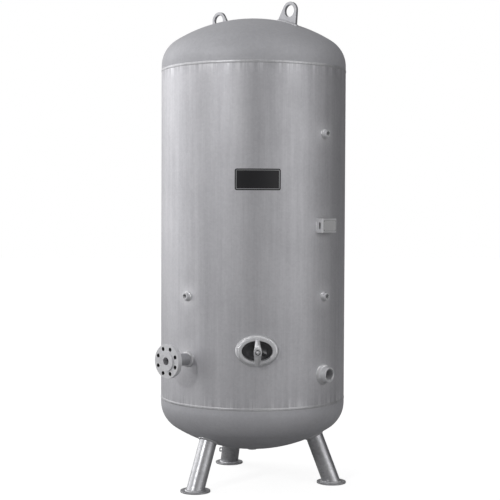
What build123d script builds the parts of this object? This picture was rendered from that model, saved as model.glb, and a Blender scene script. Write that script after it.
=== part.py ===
from build123d import *
import os
from math import asin, cos, degrees, radians, sin, sqrt

# Vertical air receiver: a welded steel vessel on three splayed legs, with a flanged inlet, threaded sockets and
# an oval handhole whose cover is pulled outwards against its ring by a stud, a bow and a nut.
#
# Millimetres, +Z up. The origin is on the vessel's axis at floor level, and the handhole faces -Y.
# An azimuth is measured round the vessel from the handhole, positive towards +X.
# A rise is a height above the seam between the bottom head and the shell.

# Vessel
shell_diameter = 950.0
shell_length = 1678.0
shell_wall = 5.0
head_wall = 5.0
crown_ratio = 0.8  # crown radius over outside diameter, as deep dished heads are pressed
knuckle_ratio = 0.154  # knuckle radius over outside diameter
straight_flange = 26.0
ground_clearance = 168.0

# Butt welds of the vessel
seam_bead_width = 14.0
seam_bead_height = 2.0
long_seam_azimuth = 165.0

# Legs and feet
leg_azimuths = {"left": -45.0, "right": 75.0, "rear": 195.0}
leg_tube_diameter = 88.9
leg_tube_wall = 4.0
leg_lean = 21.3
foot_inset = 57.0  # from the shell's outside to the middle of a foot
foot_plate_diameter = 150.0
foot_plate_thickness = 8.0
foot_weld_leg = 6.0
leg_weld_leg = 7.0
anchor_hole_diameter = 14.0
anchor_hole_offset = 62.0  # outwards from the middle of the foot

# Lifting lugs
lug_azimuths = {"right": 45.0, "left": 225.0}
lug_circle_radius = 229.0
lug_thickness = 15.0
lug_eye_radius = 46.0
lug_hole_diameter = 60.0
lug_eye_rise = 59.0  # from the head to the middle of the hole
lug_base_width = 118.0
lug_weld_leg = 7.0

# Flanged inlet
inlet_azimuth = -45.0
inlet_rise = 231.0
inlet_pipe_diameter = 60.3
inlet_bore = 38.2
inlet_reach = 148.0  # from the shell to the raised face
flange_diameter = 165.0
flange_thickness = 24.0
raised_face_diameter = 94.0
raised_face_height = 6.0
flange_bolt_circle = 127.0
flange_bolt_hole = 19.0
flange_bolt_count = 8
inlet_weld_leg = 10.0
flange_weld_leg = 7.0
weld_edge = 0.5  # thickness of a cone-shaped fillet weld at its thin edge

# Threaded sockets: azimuth, rise, outside diameter, bore, reach beyond the shell, weld leg
sockets = {
    "outlet": (45.0, 155.0, 75.0, 56.66, 41.0, 15.0),
    "gauge": (45.0, 1342.0, 38.0, 18.63, 22.0, 7.0),
    "switch": (45.0, 541.0, 38.0, 18.63, 22.0, 7.0),
    "valve": (-45.0, 541.0, 38.0, 18.63, 22.0, 7.0),
}
socket_chamfer = 1.5
weld_flatness = 0.8  # height of a socket's weld over its leg
drain_diameter = 48.0
drain_bore = 24.12
drain_reach = 14.0
drain_weld_leg = 6.0
hole_relief = 1.0  # a hole in the vessel is this much wider all round than the bore in front of it

# Handhole
handhole_rise = 286.0
handhole_width = 150.0
handhole_height = 100.0
ring_wall_side = 17.5
ring_wall_end = 15.0
ring_reach = 22.0  # from the shell to the ring's outer face
ring_depth = 47.0
ring_weld_leg = 13.0
ring_weld_height = 9.0
cover_lip = 12.0  # how far the cover reaches past the opening all round
cover_thickness = 8.0
gasket_thickness = 3.0
gasket_margin = 1.5
dish_margin = 22.0
dish_depth = 14.0
dish_wall = 6.0
dish_slope = 9.0  # how far the dish narrows all round from its mouth to its floor
stud_boss_diameter = 30.0
stud_boss_height = 6.0

# Bow, stud and nut that hold the cover
stud_diameter = 16.0
stud_tail = 8.0  # stud left standing beyond the nut
nut_across_flats = 24.0
nut_thickness = 13.0
nut_clearance = 0.05
washer_diameter = 30.0
washer_thickness = 3.0
bow_hole_clearance = 1.0
bow_seat_margin = 1.0
bow_width = 38.0
bow_rise = 46.0
bow_thickness = 17.0
bow_upper_overhang = 11.0  # how far the bow's upper toe reaches past the opening
bow_lower_overhang = 25.0
bow_toe_height = 13.0
bow_upper_toe_width = 20.0
bow_lower_toe_width = 27.0
bow_foot_depth = 2.0  # how far inside the opening the arch's underside meets the ring's face
bow_bulge = 7.0  # how far the arch's back stands above a straight line from seat to toe

# Nameplate on its bracket
bracket_azimuth = 45.0
bracket_rise = 890.0
bracket_width = 111.0
bracket_height = 70.0
bracket_reach = 34.0
bracket_sheet = 3.0
bracket_bend = 5.0
bracket_slot_length = 33.0
bracket_slot_width = 9.0
bracket_weld_leg = 3.0
nameplate_margin = 7.0
nameplate_thickness = 1.0
nameplate_corner = 4.0
rivet_diameter = 5.0
rivet_height = 1.4
rivet_inset = 6.0

# Blank panel on the front of the shell
label_rise = 1112.0
label_width = 222.0
label_height = 104.0
label_corner = 10.0
label_thickness = 0.5

# Earthing lug on the rear leg
earth_lug_height = 82.0  # above the floor
earth_lug_length = 22.0
earth_lug_width = 24.0
earth_lug_thickness = 6.0
earth_lug_hole = 11.0

# Worked out from the values above
shell_radius = shell_diameter / 2
crown_radius = crown_ratio * shell_diameter
knuckle_radius = knuckle_ratio * shell_diameter
crown_angle = asin((shell_radius - knuckle_radius) / (crown_radius - knuckle_radius))  # crown's edge from its pole
head_depth = crown_radius - (crown_radius - knuckle_radius) * cos(crown_angle)
bottom_knuckle = ground_clearance + head_depth
bottom_seam = bottom_knuckle + straight_flange
top_seam = bottom_seam + shell_length
top_knuckle = top_seam + straight_flange
foot_circle_radius = shell_radius - foot_inset
ring_half_width = handhole_width / 2 + ring_wall_side
ring_half_height = handhole_height / 2 + ring_wall_end
ring_face = shell_radius + ring_reach
ring_inner_end = ring_face - ring_depth
handhole_level = bottom_seam + handhole_rise
UP = Vector(0, 0, 1)

os.makedirs("parts", exist_ok=True)


def save(piece, name):
    """Labels a finished piece and writes it as its own STEP file."""
    piece.part.label = name
    export_step(piece.part, f"parts/{name}.step")


def outward(azimuth):
    """Unit vector away from the vessel's axis."""
    return Vector(sin(radians(azimuth)), -cos(radians(azimuth)), 0)


def sideways(azimuth):
    """Unit vector to the right of someone who faces the vessel at an azimuth."""
    return Vector(cos(radians(azimuth)), sin(radians(azimuth)), 0)


def branch_plane(azimuth, level, distance=0.0):
    """Plane square to a radial branch: x to the right, y up, z away from the vessel's axis."""
    origin = outward(azimuth) * distance + UP * level
    return Plane(origin=origin, x_dir=sideways(azimuth), z_dir=outward(azimuth))


def plan_plane(azimuth, level):
    """Level plane seen from above a fitting: x to the right, y away from the vessel's axis, z down."""
    return Plane(origin=UP * level, x_dir=sideways(azimuth), z_dir=-UP)


def draw_head(knuckle, growth, turn):
    """Draws a head's knuckle and crown arcs, outwards from its outside by the growth. turn is 1 upwards, -1 down."""
    knuckle_angle = 90 - degrees(crown_angle)
    crown_middle = knuckle + turn * (head_depth - crown_radius)
    CenterArc((shell_radius - knuckle_radius, knuckle), knuckle_radius + growth, 0, turn * knuckle_angle)
    CenterArc((0, crown_middle), crown_radius + growth, turn * knuckle_angle, turn * degrees(crown_angle))


def vessel_volume(growth=0.0):
    """The vessel's outside as one filled solid, grown all round."""
    top = (0, top_knuckle + head_depth + growth)
    bottom = (0, bottom_knuckle - head_depth - growth)
    with BuildPart() as volume:
        with BuildSketch(Plane.XZ):
            with BuildLine():
                Line((shell_radius + growth, bottom_knuckle), (shell_radius + growth, top_knuckle))
                draw_head(top_knuckle, growth, 1)
                Line(top, bottom)
                draw_head(bottom_knuckle, growth, -1)
            make_face()
        revolve(axis=Axis.Z)
    return volume.part


vessel = vessel_volume()


def vessel_bead(footprint, height, piece=None):
    """Weld bead of even height that fills a footprint on the vessel's outside, around a piece."""
    with BuildPart() as bead:
        add(footprint)
        add(vessel_volume(height), mode=Mode.INTERSECT)
        add(vessel, mode=Mode.SUBTRACT)
        if piece:
            add(piece, mode=Mode.SUBTRACT)
    return bead


def tube(plane, outside_radius, inside_radius, length):
    """Round tube that starts on a plane and runs along its normal."""
    with BuildPart() as pipe:
        with BuildSketch(plane):
            Circle(outside_radius)
            Circle(inside_radius, mode=Mode.SUBTRACT)
        extrude(amount=length)
    return pipe.part


def branch_footprint(azimuth, level, radius, leg):
    """Tube-shaped space for the fillet weld round a radial branch."""
    return tube(branch_plane(azimuth, level, shell_radius / 2), radius + leg, radius, shell_radius)


# Shell and heads ---------------------------------------------------------------------------------------------------


def make_shell():
    """Rolled shell with the holes of its branches and the oval opening of the handhole."""
    with BuildPart() as shell:
        with BuildSketch(Plane.XY.offset(bottom_seam)):
            Circle(shell_radius)
            Circle(shell_radius - shell_wall, mode=Mode.SUBTRACT)
        extrude(amount=shell_length)
        branches = [(azimuth, rise, bore) for azimuth, rise, _, bore, _, _ in sockets.values()]
        branches.append((inlet_azimuth, inlet_rise, inlet_bore))
        for azimuth, rise, bore in branches:
            with BuildSketch(branch_plane(azimuth, bottom_seam + rise)):
                Circle(bore / 2 + hole_relief)
            extrude(amount=shell_radius, mode=Mode.SUBTRACT)
        with BuildSketch(branch_plane(0, handhole_level)):
            Ellipse(ring_half_width, ring_half_height)
        extrude(amount=shell_radius, mode=Mode.SUBTRACT)
    return shell


def make_head(knuckle, seam, turn):
    """Dished head with its straight flange. turn is 1 for a head that rises from its seam and -1 for one below."""
    pole = knuckle + turn * head_depth
    inner_radius = shell_radius - head_wall
    with BuildPart() as head:
        with BuildSketch(Plane.XZ):
            with BuildLine():
                Line((shell_radius, seam), (shell_radius, knuckle))
                draw_head(knuckle, 0, turn)
                Line((0, pole), (0, pole - turn * head_wall))
                draw_head(knuckle, -head_wall, turn)
                Line((inner_radius, knuckle), (inner_radius, seam))
                Line((inner_radius, seam), (shell_radius, seam))
            make_face()
        revolve(axis=Axis.Z)
        if turn < 0:
            with BuildSketch(Plane.XY):
                Circle(drain_bore / 2 + hole_relief)
            extrude(amount=bottom_knuckle, mode=Mode.SUBTRACT)
    return head


def make_girth_bead(level):
    """Domed bead that runs round a seam between the shell and a head."""
    with BuildPart() as bead:
        with BuildSketch(Plane.XZ):
            with BuildLine():
                low = (shell_radius, level - seam_bead_width / 2)
                high = (shell_radius, level + seam_bead_width / 2)
                ThreePointArc(low, (shell_radius + seam_bead_height, level), high)
                Line(high, low)
            make_face()
        revolve(axis=Axis.Z)
    return bead


def make_long_bead():
    """Flat bead down the back of the shell, between the two girth beads."""
    with BuildPart() as bead:
        with BuildSketch(Plane.XY.offset(bottom_seam + seam_bead_width / 2)):
            Circle(shell_radius + seam_bead_height / 2)
            Circle(shell_radius, mode=Mode.SUBTRACT)
        extrude(amount=shell_length - seam_bead_width)
        with BuildSketch(plan_plane(long_seam_azimuth, top_seam)):
            Rectangle(seam_bead_width, 2 * shell_radius, align=(Align.CENTER, Align.MIN))
        extrude(amount=shell_length, mode=Mode.INTERSECT)
    return bead


save(make_shell(), "shell")
save(make_head(top_knuckle, top_seam, 1), "top_head")
save(make_head(bottom_knuckle, bottom_seam, -1), "bottom_head")
save(make_girth_bead(top_seam), "top_girth_weld")
save(make_girth_bead(bottom_seam), "bottom_girth_weld")
save(make_long_bead(), "longitudinal_weld")


# Legs --------------------------------------------------------------------------------------------------------------


def leg_plane(azimuth):
    """Plane square to a leg at the middle of its foot: x to the right, z up the leg, which leans to the vessel."""
    foot = outward(azimuth) * foot_circle_radius + UP * foot_plate_thickness
    up_leg = UP * cos(radians(leg_lean)) - outward(azimuth) * sin(radians(leg_lean))
    return Plane(origin=foot, x_dir=sideways(azimuth), z_dir=up_leg)


def leg_length():
    """Length along a leg from its foot to well inside the bottom head."""
    return (bottom_seam - foot_plate_thickness) / cos(radians(leg_lean))


def make_leg(azimuth):
    """Splayed tube, cut level on the foot plate and shaped to the head."""
    start = leg_plane(azimuth).offset(-leg_tube_diameter)
    with BuildPart() as leg:
        add(tube(start, leg_tube_diameter / 2, leg_tube_diameter / 2 - leg_tube_wall, leg_length() + leg_tube_diameter))
        split(bisect_by=Plane.XY.offset(foot_plate_thickness), keep=Keep.TOP)
        add(vessel, mode=Mode.SUBTRACT)
    return leg


def make_leg_weld(azimuth):
    """Fillet weld between a leg and the bottom head."""
    radius = leg_tube_diameter / 2
    return vessel_bead(tube(leg_plane(azimuth), radius + leg_weld_leg, radius, leg_length()), leg_weld_leg)


def make_foot_plate(azimuth):
    """Round foot plate with one anchor hole outside the leg."""
    middle = outward(azimuth) * foot_circle_radius
    hole = outward(azimuth) * (foot_circle_radius + anchor_hole_offset)
    with BuildPart() as plate:
        with BuildSketch(Plane.XY):
            with Locations((middle.X, middle.Y)):
                Circle(foot_plate_diameter / 2)
            with Locations((hole.X, hole.Y)):
                Circle(anchor_hole_diameter / 2, mode=Mode.SUBTRACT)
        extrude(amount=foot_plate_thickness)
    return plate


def make_foot_weld(azimuth):
    """Fillet weld round the foot of a leg, level on the foot plate."""
    radius = leg_tube_diameter / 2
    start = leg_plane(azimuth).offset(-leg_tube_diameter)
    with BuildPart() as weld:
        add(tube(start, radius + foot_weld_leg, radius, 2 * leg_tube_diameter))
        split(bisect_by=Plane.XY.offset(foot_plate_thickness), keep=Keep.TOP)
        split(bisect_by=Plane.XY.offset(foot_plate_thickness + foot_weld_leg), keep=Keep.BOTTOM)
    return weld


for leg_name, leg_azimuth in leg_azimuths.items():
    save(make_leg(leg_azimuth), f"leg_{leg_name}")
    save(make_leg_weld(leg_azimuth), f"leg_weld_{leg_name}")
    save(make_foot_plate(leg_azimuth), f"foot_plate_{leg_name}")
    save(make_foot_weld(leg_azimuth), f"foot_weld_{leg_name}")


def make_earthing_lug():
    """Drilled tab that stands out from the side of the rear leg."""
    azimuth = leg_azimuths["rear"]
    climb = (earth_lug_height - foot_plate_thickness) / cos(radians(leg_lean))
    leg_middle = leg_plane(azimuth).offset(climb).origin
    tip = leg_tube_diameter / 2 + earth_lug_length
    face = Plane(origin=leg_middle, x_dir=sideways(azimuth), z_dir=outward(azimuth))
    with BuildPart() as lug:
        with BuildSketch(face):
            Rectangle(tip, earth_lug_width, align=(Align.MIN, Align.CENTER))
            with Locations((tip - earth_lug_length / 2, 0)):
                Circle(earth_lug_hole / 2, mode=Mode.SUBTRACT)
        extrude(amount=earth_lug_thickness / 2, both=True)
        with BuildSketch(leg_plane(azimuth)):
            Circle(leg_tube_diameter / 2)
        extrude(amount=leg_length(), mode=Mode.SUBTRACT)
    return lug


save(make_earthing_lug(), "earthing_lug")


# Lifting lugs ------------------------------------------------------------------------------------------------------


def lug_plane(azimuth):
    """Plane of a lug's plate: x down the head, y square to the head, z across the plate."""
    slope = asin(lug_circle_radius / crown_radius)
    crown_middle = top_knuckle + head_depth - crown_radius
    down_head = outward(azimuth) * cos(slope) - UP * sin(slope)
    base = outward(azimuth) * lug_circle_radius + UP * (crown_middle + crown_radius * cos(slope))
    return Plane(origin=base, x_dir=down_head, z_dir=outward(azimuth).cross(UP))


def make_lug(azimuth):
    """Flat lifting eye that stands square on the top head."""
    with BuildPart() as lug:
        with BuildSketch(lug_plane(azimuth)):
            with Locations((0, lug_eye_rise)):
                Circle(lug_eye_radius)
            Rectangle(lug_base_width, lug_thickness)
            make_hull()
            Rectangle(lug_base_width, 2 * lug_thickness, align=(Align.CENTER, Align.MAX))
            with Locations((0, lug_eye_rise)):
                Circle(lug_hole_diameter / 2, mode=Mode.SUBTRACT)
        extrude(amount=lug_thickness / 2, both=True)
        add(vessel, mode=Mode.SUBTRACT)
    return lug


def make_lug_weld(azimuth, lug):
    """Fillet weld all round the base of a lifting lug."""
    with BuildPart() as footprint:
        with BuildSketch(lug_plane(azimuth)):
            Rectangle(lug_base_width + 2 * lug_weld_leg, 4 * lug_thickness)
        extrude(amount=lug_thickness / 2 + lug_weld_leg, both=True)
    return vessel_bead(footprint.part, lug_weld_leg, lug.part)


for lug_name, lug_azimuth in lug_azimuths.items():
    lifting_lug = make_lug(lug_azimuth)
    save(lifting_lug, f"lifting_lug_{lug_name}")
    save(make_lug_weld(lug_azimuth, lifting_lug), f"lug_weld_{lug_name}")


# Flanged inlet -----------------------------------------------------------------------------------------------------

inlet_level = bottom_seam + inlet_rise
inlet_face = shell_radius + inlet_reach
inlet_joint = inlet_face - raised_face_height - flange_thickness


def make_inlet_pipe():
    """Thick-walled stub pipe, shaped to the shell."""
    start = branch_plane(inlet_azimuth, inlet_level, shell_radius / 2)
    with BuildPart() as pipe:
        add(tube(start, inlet_pipe_diameter / 2, inlet_bore / 2, inlet_joint - shell_radius / 2))
        add(vessel, mode=Mode.SUBTRACT)
    return pipe


def make_inlet_flange():
    """Flange with a raised face and eight bolt holes astride its centre lines."""
    joint = branch_plane(inlet_azimuth, inlet_level, inlet_joint)
    with BuildPart() as flange:
        with BuildSketch(joint):
            Circle(flange_diameter / 2)
            with PolarLocations(flange_bolt_circle / 2, flange_bolt_count, 180 / flange_bolt_count):
                Circle(flange_bolt_hole / 2, mode=Mode.SUBTRACT)
        extrude(amount=flange_thickness)
        with BuildSketch(joint.offset(flange_thickness)):
            Circle(raised_face_diameter / 2)
        extrude(amount=raised_face_height)
        with BuildSketch(joint):
            Circle(inlet_bore / 2)
        extrude(amount=inlet_face - inlet_joint, mode=Mode.SUBTRACT)
    return flange


def make_flange_weld():
    """Fillet weld between the stub pipe and the back of the flange."""
    joint = branch_plane(inlet_azimuth, inlet_level, inlet_joint)
    radius = inlet_pipe_diameter / 2
    with BuildPart() as weld:
        with BuildSketch(joint.offset(-flange_weld_leg)):
            Circle(radius + weld_edge)
        with BuildSketch(joint):
            Circle(radius + flange_weld_leg)
        loft()
        with BuildSketch(joint):
            Circle(radius)
        extrude(amount=-flange_weld_leg, mode=Mode.SUBTRACT)
    return weld


save(make_inlet_pipe(), "inlet_pipe")
save(make_inlet_flange(), "inlet_flange")
save(make_flange_weld(), "inlet_flange_weld")
inlet_footprint = branch_footprint(inlet_azimuth, inlet_level, inlet_pipe_diameter / 2, inlet_weld_leg)
save(vessel_bead(inlet_footprint, inlet_weld_leg), "inlet_shell_weld")


# Threaded sockets --------------------------------------------------------------------------------------------------


def make_socket(plane, diameter, bore, length):
    """Threaded boss with chamfered mouth, shaped to the vessel at its root."""
    with BuildPart() as socket:
        add(tube(plane, diameter / 2, bore / 2, length))
        chamfer(socket.faces().sort_by(Axis(plane.origin, plane.z_dir))[-1].edges(), socket_chamfer)
        add(vessel, mode=Mode.SUBTRACT)
    return socket


for socket_name, (azimuth, rise, diameter, bore, reach, weld_leg) in sockets.items():
    level = bottom_seam + rise
    root = branch_plane(azimuth, level, shell_radius / 2)
    save(make_socket(root, diameter, bore, shell_radius / 2 + reach), f"{socket_name}_socket")
    footprint = branch_footprint(azimuth, level, diameter / 2, weld_leg)
    save(vessel_bead(footprint, weld_leg * weld_flatness), f"{socket_name}_weld")

drain_root = Plane(origin=UP * bottom_knuckle, x_dir=(1, 0, 0), z_dir=-UP)
drain_length = head_depth + drain_reach
save(make_socket(drain_root, drain_diameter, drain_bore, drain_length), "drain_socket")
drain_footprint = tube(drain_root, drain_diameter / 2 + drain_weld_leg, drain_diameter / 2, drain_length)
save(vessel_bead(drain_footprint, drain_weld_leg), "drain_weld")


# Handhole ----------------------------------------------------------------------------------------------------------


def make_handhole_ring():
    """Oval ring set through the shell."""
    with BuildPart() as ring:
        with BuildSketch(branch_plane(0, handhole_level, ring_inner_end)):
            Ellipse(ring_half_width, ring_half_height)
            Ellipse(handhole_width / 2, handhole_height / 2, mode=Mode.SUBTRACT)
        extrude(amount=ring_depth)
    return ring


def make_ring_weld():
    """Fillet weld between the ring and the shell, which follows the shell's curve."""
    with BuildPart() as footprint:
        with BuildSketch(branch_plane(0, handhole_level, shell_radius / 2)):
            Ellipse(ring_half_width + ring_weld_leg, ring_half_height + ring_weld_leg)
            Ellipse(ring_half_width, ring_half_height, mode=Mode.SUBTRACT)
        extrude(amount=shell_radius)
    return vessel_bead(footprint.part, ring_weld_height)


cover_face = ring_inner_end - gasket_thickness
cover_half_width = handhole_width / 2 + cover_lip
cover_half_height = handhole_height / 2 + cover_lip
dish_half_width = handhole_width / 2 - dish_margin
dish_half_height = handhole_height / 2 - dish_margin / 2
dish_floor = cover_face - dish_depth


def make_gasket():
    """Flat gasket on the cover's lip."""
    with BuildPart() as gasket:
        with BuildSketch(branch_plane(0, handhole_level, cover_face)):
            Ellipse(cover_half_width - gasket_margin, cover_half_height - gasket_margin)
            Ellipse(handhole_width / 2 + gasket_margin, handhole_height / 2 + gasket_margin, mode=Mode.SUBTRACT)
        extrude(amount=gasket_thickness)
    return gasket


def make_cover():
    """Oval pressed cover, larger than the opening that it closes from inside, with a dish and a boss for the stud."""
    face = branch_plane(0, handhole_level, cover_face)
    with BuildPart() as cover:
        with BuildSketch(face):
            Ellipse(cover_half_width, cover_half_height)
        extrude(amount=-cover_thickness)
        for margin, depth, mode in ((dish_wall, dish_depth + dish_wall, Mode.ADD), (0, dish_depth, Mode.SUBTRACT)):
            with BuildSketch(face):
                Ellipse(dish_half_width + margin, dish_half_height + margin)
            with BuildSketch(face.offset(-depth)):
                Ellipse(dish_half_width + margin - dish_slope, dish_half_height + margin - dish_slope)
            loft(mode=mode)
        with BuildSketch(face.offset(-dish_depth)):
            Circle(stud_boss_diameter / 2)
        extrude(amount=stud_boss_height)
    return cover


def make_stud():
    """Stud that stands on the cover's boss and passes through the bow and the nut."""
    start = dish_floor + stud_boss_height
    length = ring_face + bow_rise + washer_thickness + nut_thickness + stud_tail - start
    with BuildPart() as stud:
        with BuildSketch(branch_plane(0, handhole_level, start)):
            Circle(stud_diameter / 2)
        extrude(amount=length)
        chamfer(stud.faces().sort_by(Axis.Y)[0].edges(), socket_chamfer)
    return stud


def make_bow():
    """Arched bridge that stands on the ring above and below the opening, with a flat seat for the nut."""
    upper_toe = handhole_height / 2 + bow_upper_overhang
    lower_toe = -handhole_height / 2 - bow_lower_overhang
    seat = washer_diameter / 2 + bow_seat_margin
    spring = handhole_height / 2 - bow_foot_depth
    flank_rise = (bow_toe_height + bow_rise) / 2 + bow_bulge
    side_view = Plane(origin=branch_plane(0, handhole_level, ring_face).origin, x_dir=UP, z_dir=(1, 0, 0))
    with BuildPart() as bow:
        with BuildSketch(side_view):
            with BuildLine():
                Line((upper_toe, 0), (upper_toe, bow_toe_height))
                ThreePointArc((upper_toe, bow_toe_height), ((upper_toe + seat) / 2, flank_rise), (seat, bow_rise))
                Line((seat, bow_rise), (-seat, bow_rise))
                ThreePointArc((-seat, bow_rise), ((lower_toe - seat) / 2, flank_rise), (lower_toe, bow_toe_height))
                Line((lower_toe, bow_toe_height), (lower_toe, 0))
                Line((lower_toe, 0), (-spring, 0))
                ThreePointArc((-spring, 0), (0, bow_rise - bow_thickness), (spring, 0))
                Line((spring, 0), (upper_toe, 0))
            make_face()
        extrude(amount=bow_width / 2, both=True)
        with BuildSketch(branch_plane(0, handhole_level, ring_face)):
            with Locations((0, upper_toe - bow_upper_toe_width / 2)):
                Circle(bow_upper_toe_width / 2)
            Circle(bow_width / 2)
            with Locations((0, lower_toe + bow_lower_toe_width / 2)):
                Circle(bow_lower_toe_width / 2)
            make_hull()
        extrude(amount=bow_rise, mode=Mode.INTERSECT)
        with BuildSketch(branch_plane(0, handhole_level, ring_face)):
            Circle(stud_diameter / 2 + bow_hole_clearance)
        extrude(amount=bow_rise, mode=Mode.SUBTRACT)
    return bow


def make_washer():
    """Flat washer under the nut."""
    start = branch_plane(0, handhole_level, ring_face + bow_rise)
    with BuildPart() as washer:
        add(tube(start, washer_diameter / 2, stud_diameter / 2 + bow_hole_clearance, washer_thickness))
    return washer


def make_nut():
    """Hexagon nut with chamfered corners, which runs on the stud."""
    start = branch_plane(0, handhole_level, ring_face + bow_rise + washer_thickness)
    corner_radius = nut_across_flats / sqrt(3)
    with BuildPart() as nut:
        with BuildSketch(start):
            Circle(corner_radius)
        extrude(amount=nut_thickness)
        chamfer(nut.edges().filter_by(GeomType.CIRCLE), (corner_radius - nut_across_flats / 2) / 2)
        with BuildSketch(start):
            RegularPolygon(nut_across_flats / 2, 6, major_radius=False)
        extrude(amount=nut_thickness, mode=Mode.INTERSECT)
        with BuildSketch(start):
            Circle(stud_diameter / 2 + nut_clearance)
        extrude(amount=nut_thickness, mode=Mode.SUBTRACT)
    return nut


save(make_handhole_ring(), "handhole_ring")
save(make_ring_weld(), "handhole_weld")
save(make_gasket(), "handhole_gasket")
save(make_cover(), "handhole_cover")
save(make_stud(), "handhole_stud")
save(make_bow(), "handhole_bow")
save(make_washer(), "handhole_washer")
save(make_nut(), "handhole_nut")


# Nameplate and front panel -----------------------------------------------------------------------------------------

bracket_level = bottom_seam + bracket_rise
bracket_face = shell_radius + bracket_reach
nameplate_width = bracket_width - 2 * nameplate_margin
nameplate_height = bracket_height - 2 * nameplate_margin


def make_channel(width, height, face, bend):
    """Upright block between the shell and a face of the bracket, with rounded front edges."""
    top = plan_plane(bracket_azimuth, bracket_level + height / 2)
    with BuildPart() as channel:
        with BuildSketch(top) as plan:
            with Locations((0, face)):
                Rectangle(width, 2 * bracket_reach, align=(Align.CENTER, Align.MAX))
            fillet(plan.vertices().group_by(Axis.Y)[-1], bend)
        extrude(amount=height)
    return channel.part


def make_bracket():
    """Sheet folded to a channel that stands on its two sides, each with an upright slot."""
    side = Plane(
        origin=outward(bracket_azimuth) * (bracket_face - bracket_reach / 2) + UP * bracket_level,
        x_dir=outward(bracket_azimuth),
        z_dir=sideways(bracket_azimuth),
    )
    inside_width = bracket_width - 2 * bracket_sheet
    inside_bend = bracket_bend - bracket_sheet
    with BuildPart() as bracket:
        add(make_channel(bracket_width, bracket_height, bracket_face, bracket_bend))
        inside = make_channel(inside_width, bracket_height, bracket_face - bracket_sheet, inside_bend)
        add(inside, mode=Mode.SUBTRACT)
        with BuildSketch(side):
            SlotOverall(bracket_slot_length, bracket_slot_width, rotation=90)
        extrude(amount=bracket_width, both=True, mode=Mode.SUBTRACT)
        add(vessel, mode=Mode.SUBTRACT)
    return bracket


def make_bracket_weld(bracket):
    """Fillet welds along the outside of the bracket's two sides."""
    with BuildPart() as footprint:
        add(make_channel(bracket_width + 2 * bracket_weld_leg, bracket_height, bracket_face, bracket_bend))
        add(make_channel(bracket_width, bracket_height, bracket_face, bracket_bend), mode=Mode.SUBTRACT)
    return vessel_bead(footprint.part, bracket_weld_leg, bracket.part)


def make_nameplate():
    """Blank plate with rounded corners on the bracket's face."""
    with BuildPart() as plate:
        with BuildSketch(branch_plane(bracket_azimuth, bracket_level, bracket_face)):
            RectangleRounded(nameplate_width, nameplate_height, nameplate_corner)
        extrude(amount=nameplate_thickness)
    return plate


def make_rivets():
    """Four domed rivet heads in the corners of the nameplate."""
    face = branch_plane(bracket_azimuth, bracket_level, bracket_face + nameplate_thickness)
    with BuildPart() as rivets:
        with BuildSketch(face):
            with GridLocations(nameplate_width - 2 * rivet_inset, nameplate_height - 2 * rivet_inset, 2, 2):
                Circle(rivet_diameter / 2)
        extrude(amount=rivet_height)
        heads = rivets.faces().group_by(Axis(face.origin, face.z_dir))[-1]
        fillet(heads.edges(), rivet_height / 2)
    return rivets


def make_label():
    """Thin blank panel that follows the curve of the shell."""
    level = bottom_seam + label_rise
    with BuildPart() as label:
        with BuildSketch(Plane.XY.offset(level - label_height / 2)):
            Circle(shell_radius + label_thickness)
            Circle(shell_radius, mode=Mode.SUBTRACT)
        extrude(amount=label_height)
        with BuildSketch(branch_plane(0, level)):
            RectangleRounded(label_width, label_height, label_corner)
        extrude(amount=shell_diameter, mode=Mode.INTERSECT)
    return label


nameplate_bracket = make_bracket()
save(nameplate_bracket, "nameplate_bracket")
save(make_bracket_weld(nameplate_bracket), "nameplate_bracket_weld")
save(make_nameplate(), "nameplate")
save(make_rivets(), "nameplate_rivets")
save(make_label(), "front_label")
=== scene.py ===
"""Visual model of an upright air receiver: a galvanised welded vessel on three splayed tube legs."""
import logging
from collections.abc import Callable, Sequence
from dataclasses import dataclass, field, replace
from enum import Enum
from math import acos, asin, atan2, copysign, cos, dist, hypot, pi, radians, sin, sqrt, tan

import bmesh
import bpy
from mathutils import Matrix, Vector, noise


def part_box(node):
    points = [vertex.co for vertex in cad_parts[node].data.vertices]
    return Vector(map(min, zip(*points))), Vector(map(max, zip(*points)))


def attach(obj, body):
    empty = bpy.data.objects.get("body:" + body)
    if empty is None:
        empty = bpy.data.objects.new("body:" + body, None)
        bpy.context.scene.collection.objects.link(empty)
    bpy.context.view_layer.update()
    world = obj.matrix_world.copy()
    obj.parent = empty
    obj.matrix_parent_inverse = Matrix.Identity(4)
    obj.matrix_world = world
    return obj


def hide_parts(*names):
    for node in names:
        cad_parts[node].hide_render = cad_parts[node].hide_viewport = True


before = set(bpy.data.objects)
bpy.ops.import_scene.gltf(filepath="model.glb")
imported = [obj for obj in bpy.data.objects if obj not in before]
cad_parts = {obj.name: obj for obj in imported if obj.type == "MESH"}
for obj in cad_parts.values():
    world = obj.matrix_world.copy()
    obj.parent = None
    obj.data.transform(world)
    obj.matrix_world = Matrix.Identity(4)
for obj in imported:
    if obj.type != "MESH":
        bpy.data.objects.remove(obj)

logging.basicConfig(level=logging.INFO, format="%(message)s")
log = logging.getLogger("air_receiver")

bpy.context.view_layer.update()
MM = 0.001
UP = Vector((0, 0, 1))
TURN = 2 * pi
MERGE = 2e-6
Mesh = bmesh.types.BMesh
Outline = list[tuple[float, float]]
Colour = tuple[float, float, float]
Scale = tuple[float, float, float]
Surface = Callable[[float, float], Vector]
BEAD_SHARPNESS = 60.0
ROOT_DEPTH = 2 * MM


class Body(Enum):
    """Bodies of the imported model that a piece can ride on."""

    TANK = "tank"
    COVER = "cover"
    BOW = "bow"
    NUT = "nut"


class End(Enum):
    """Which end of the vessel a head closes. The value is the way it points along +Z."""

    TOP = 1
    BOTTOM = -1


# Directions and places


def outward(azimuth: float) -> Vector:
    """Unit vector away from the vessel's axis, at degrees round from the handhole."""
    return Vector((sin(radians(azimuth)), -cos(radians(azimuth)), 0))


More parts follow.
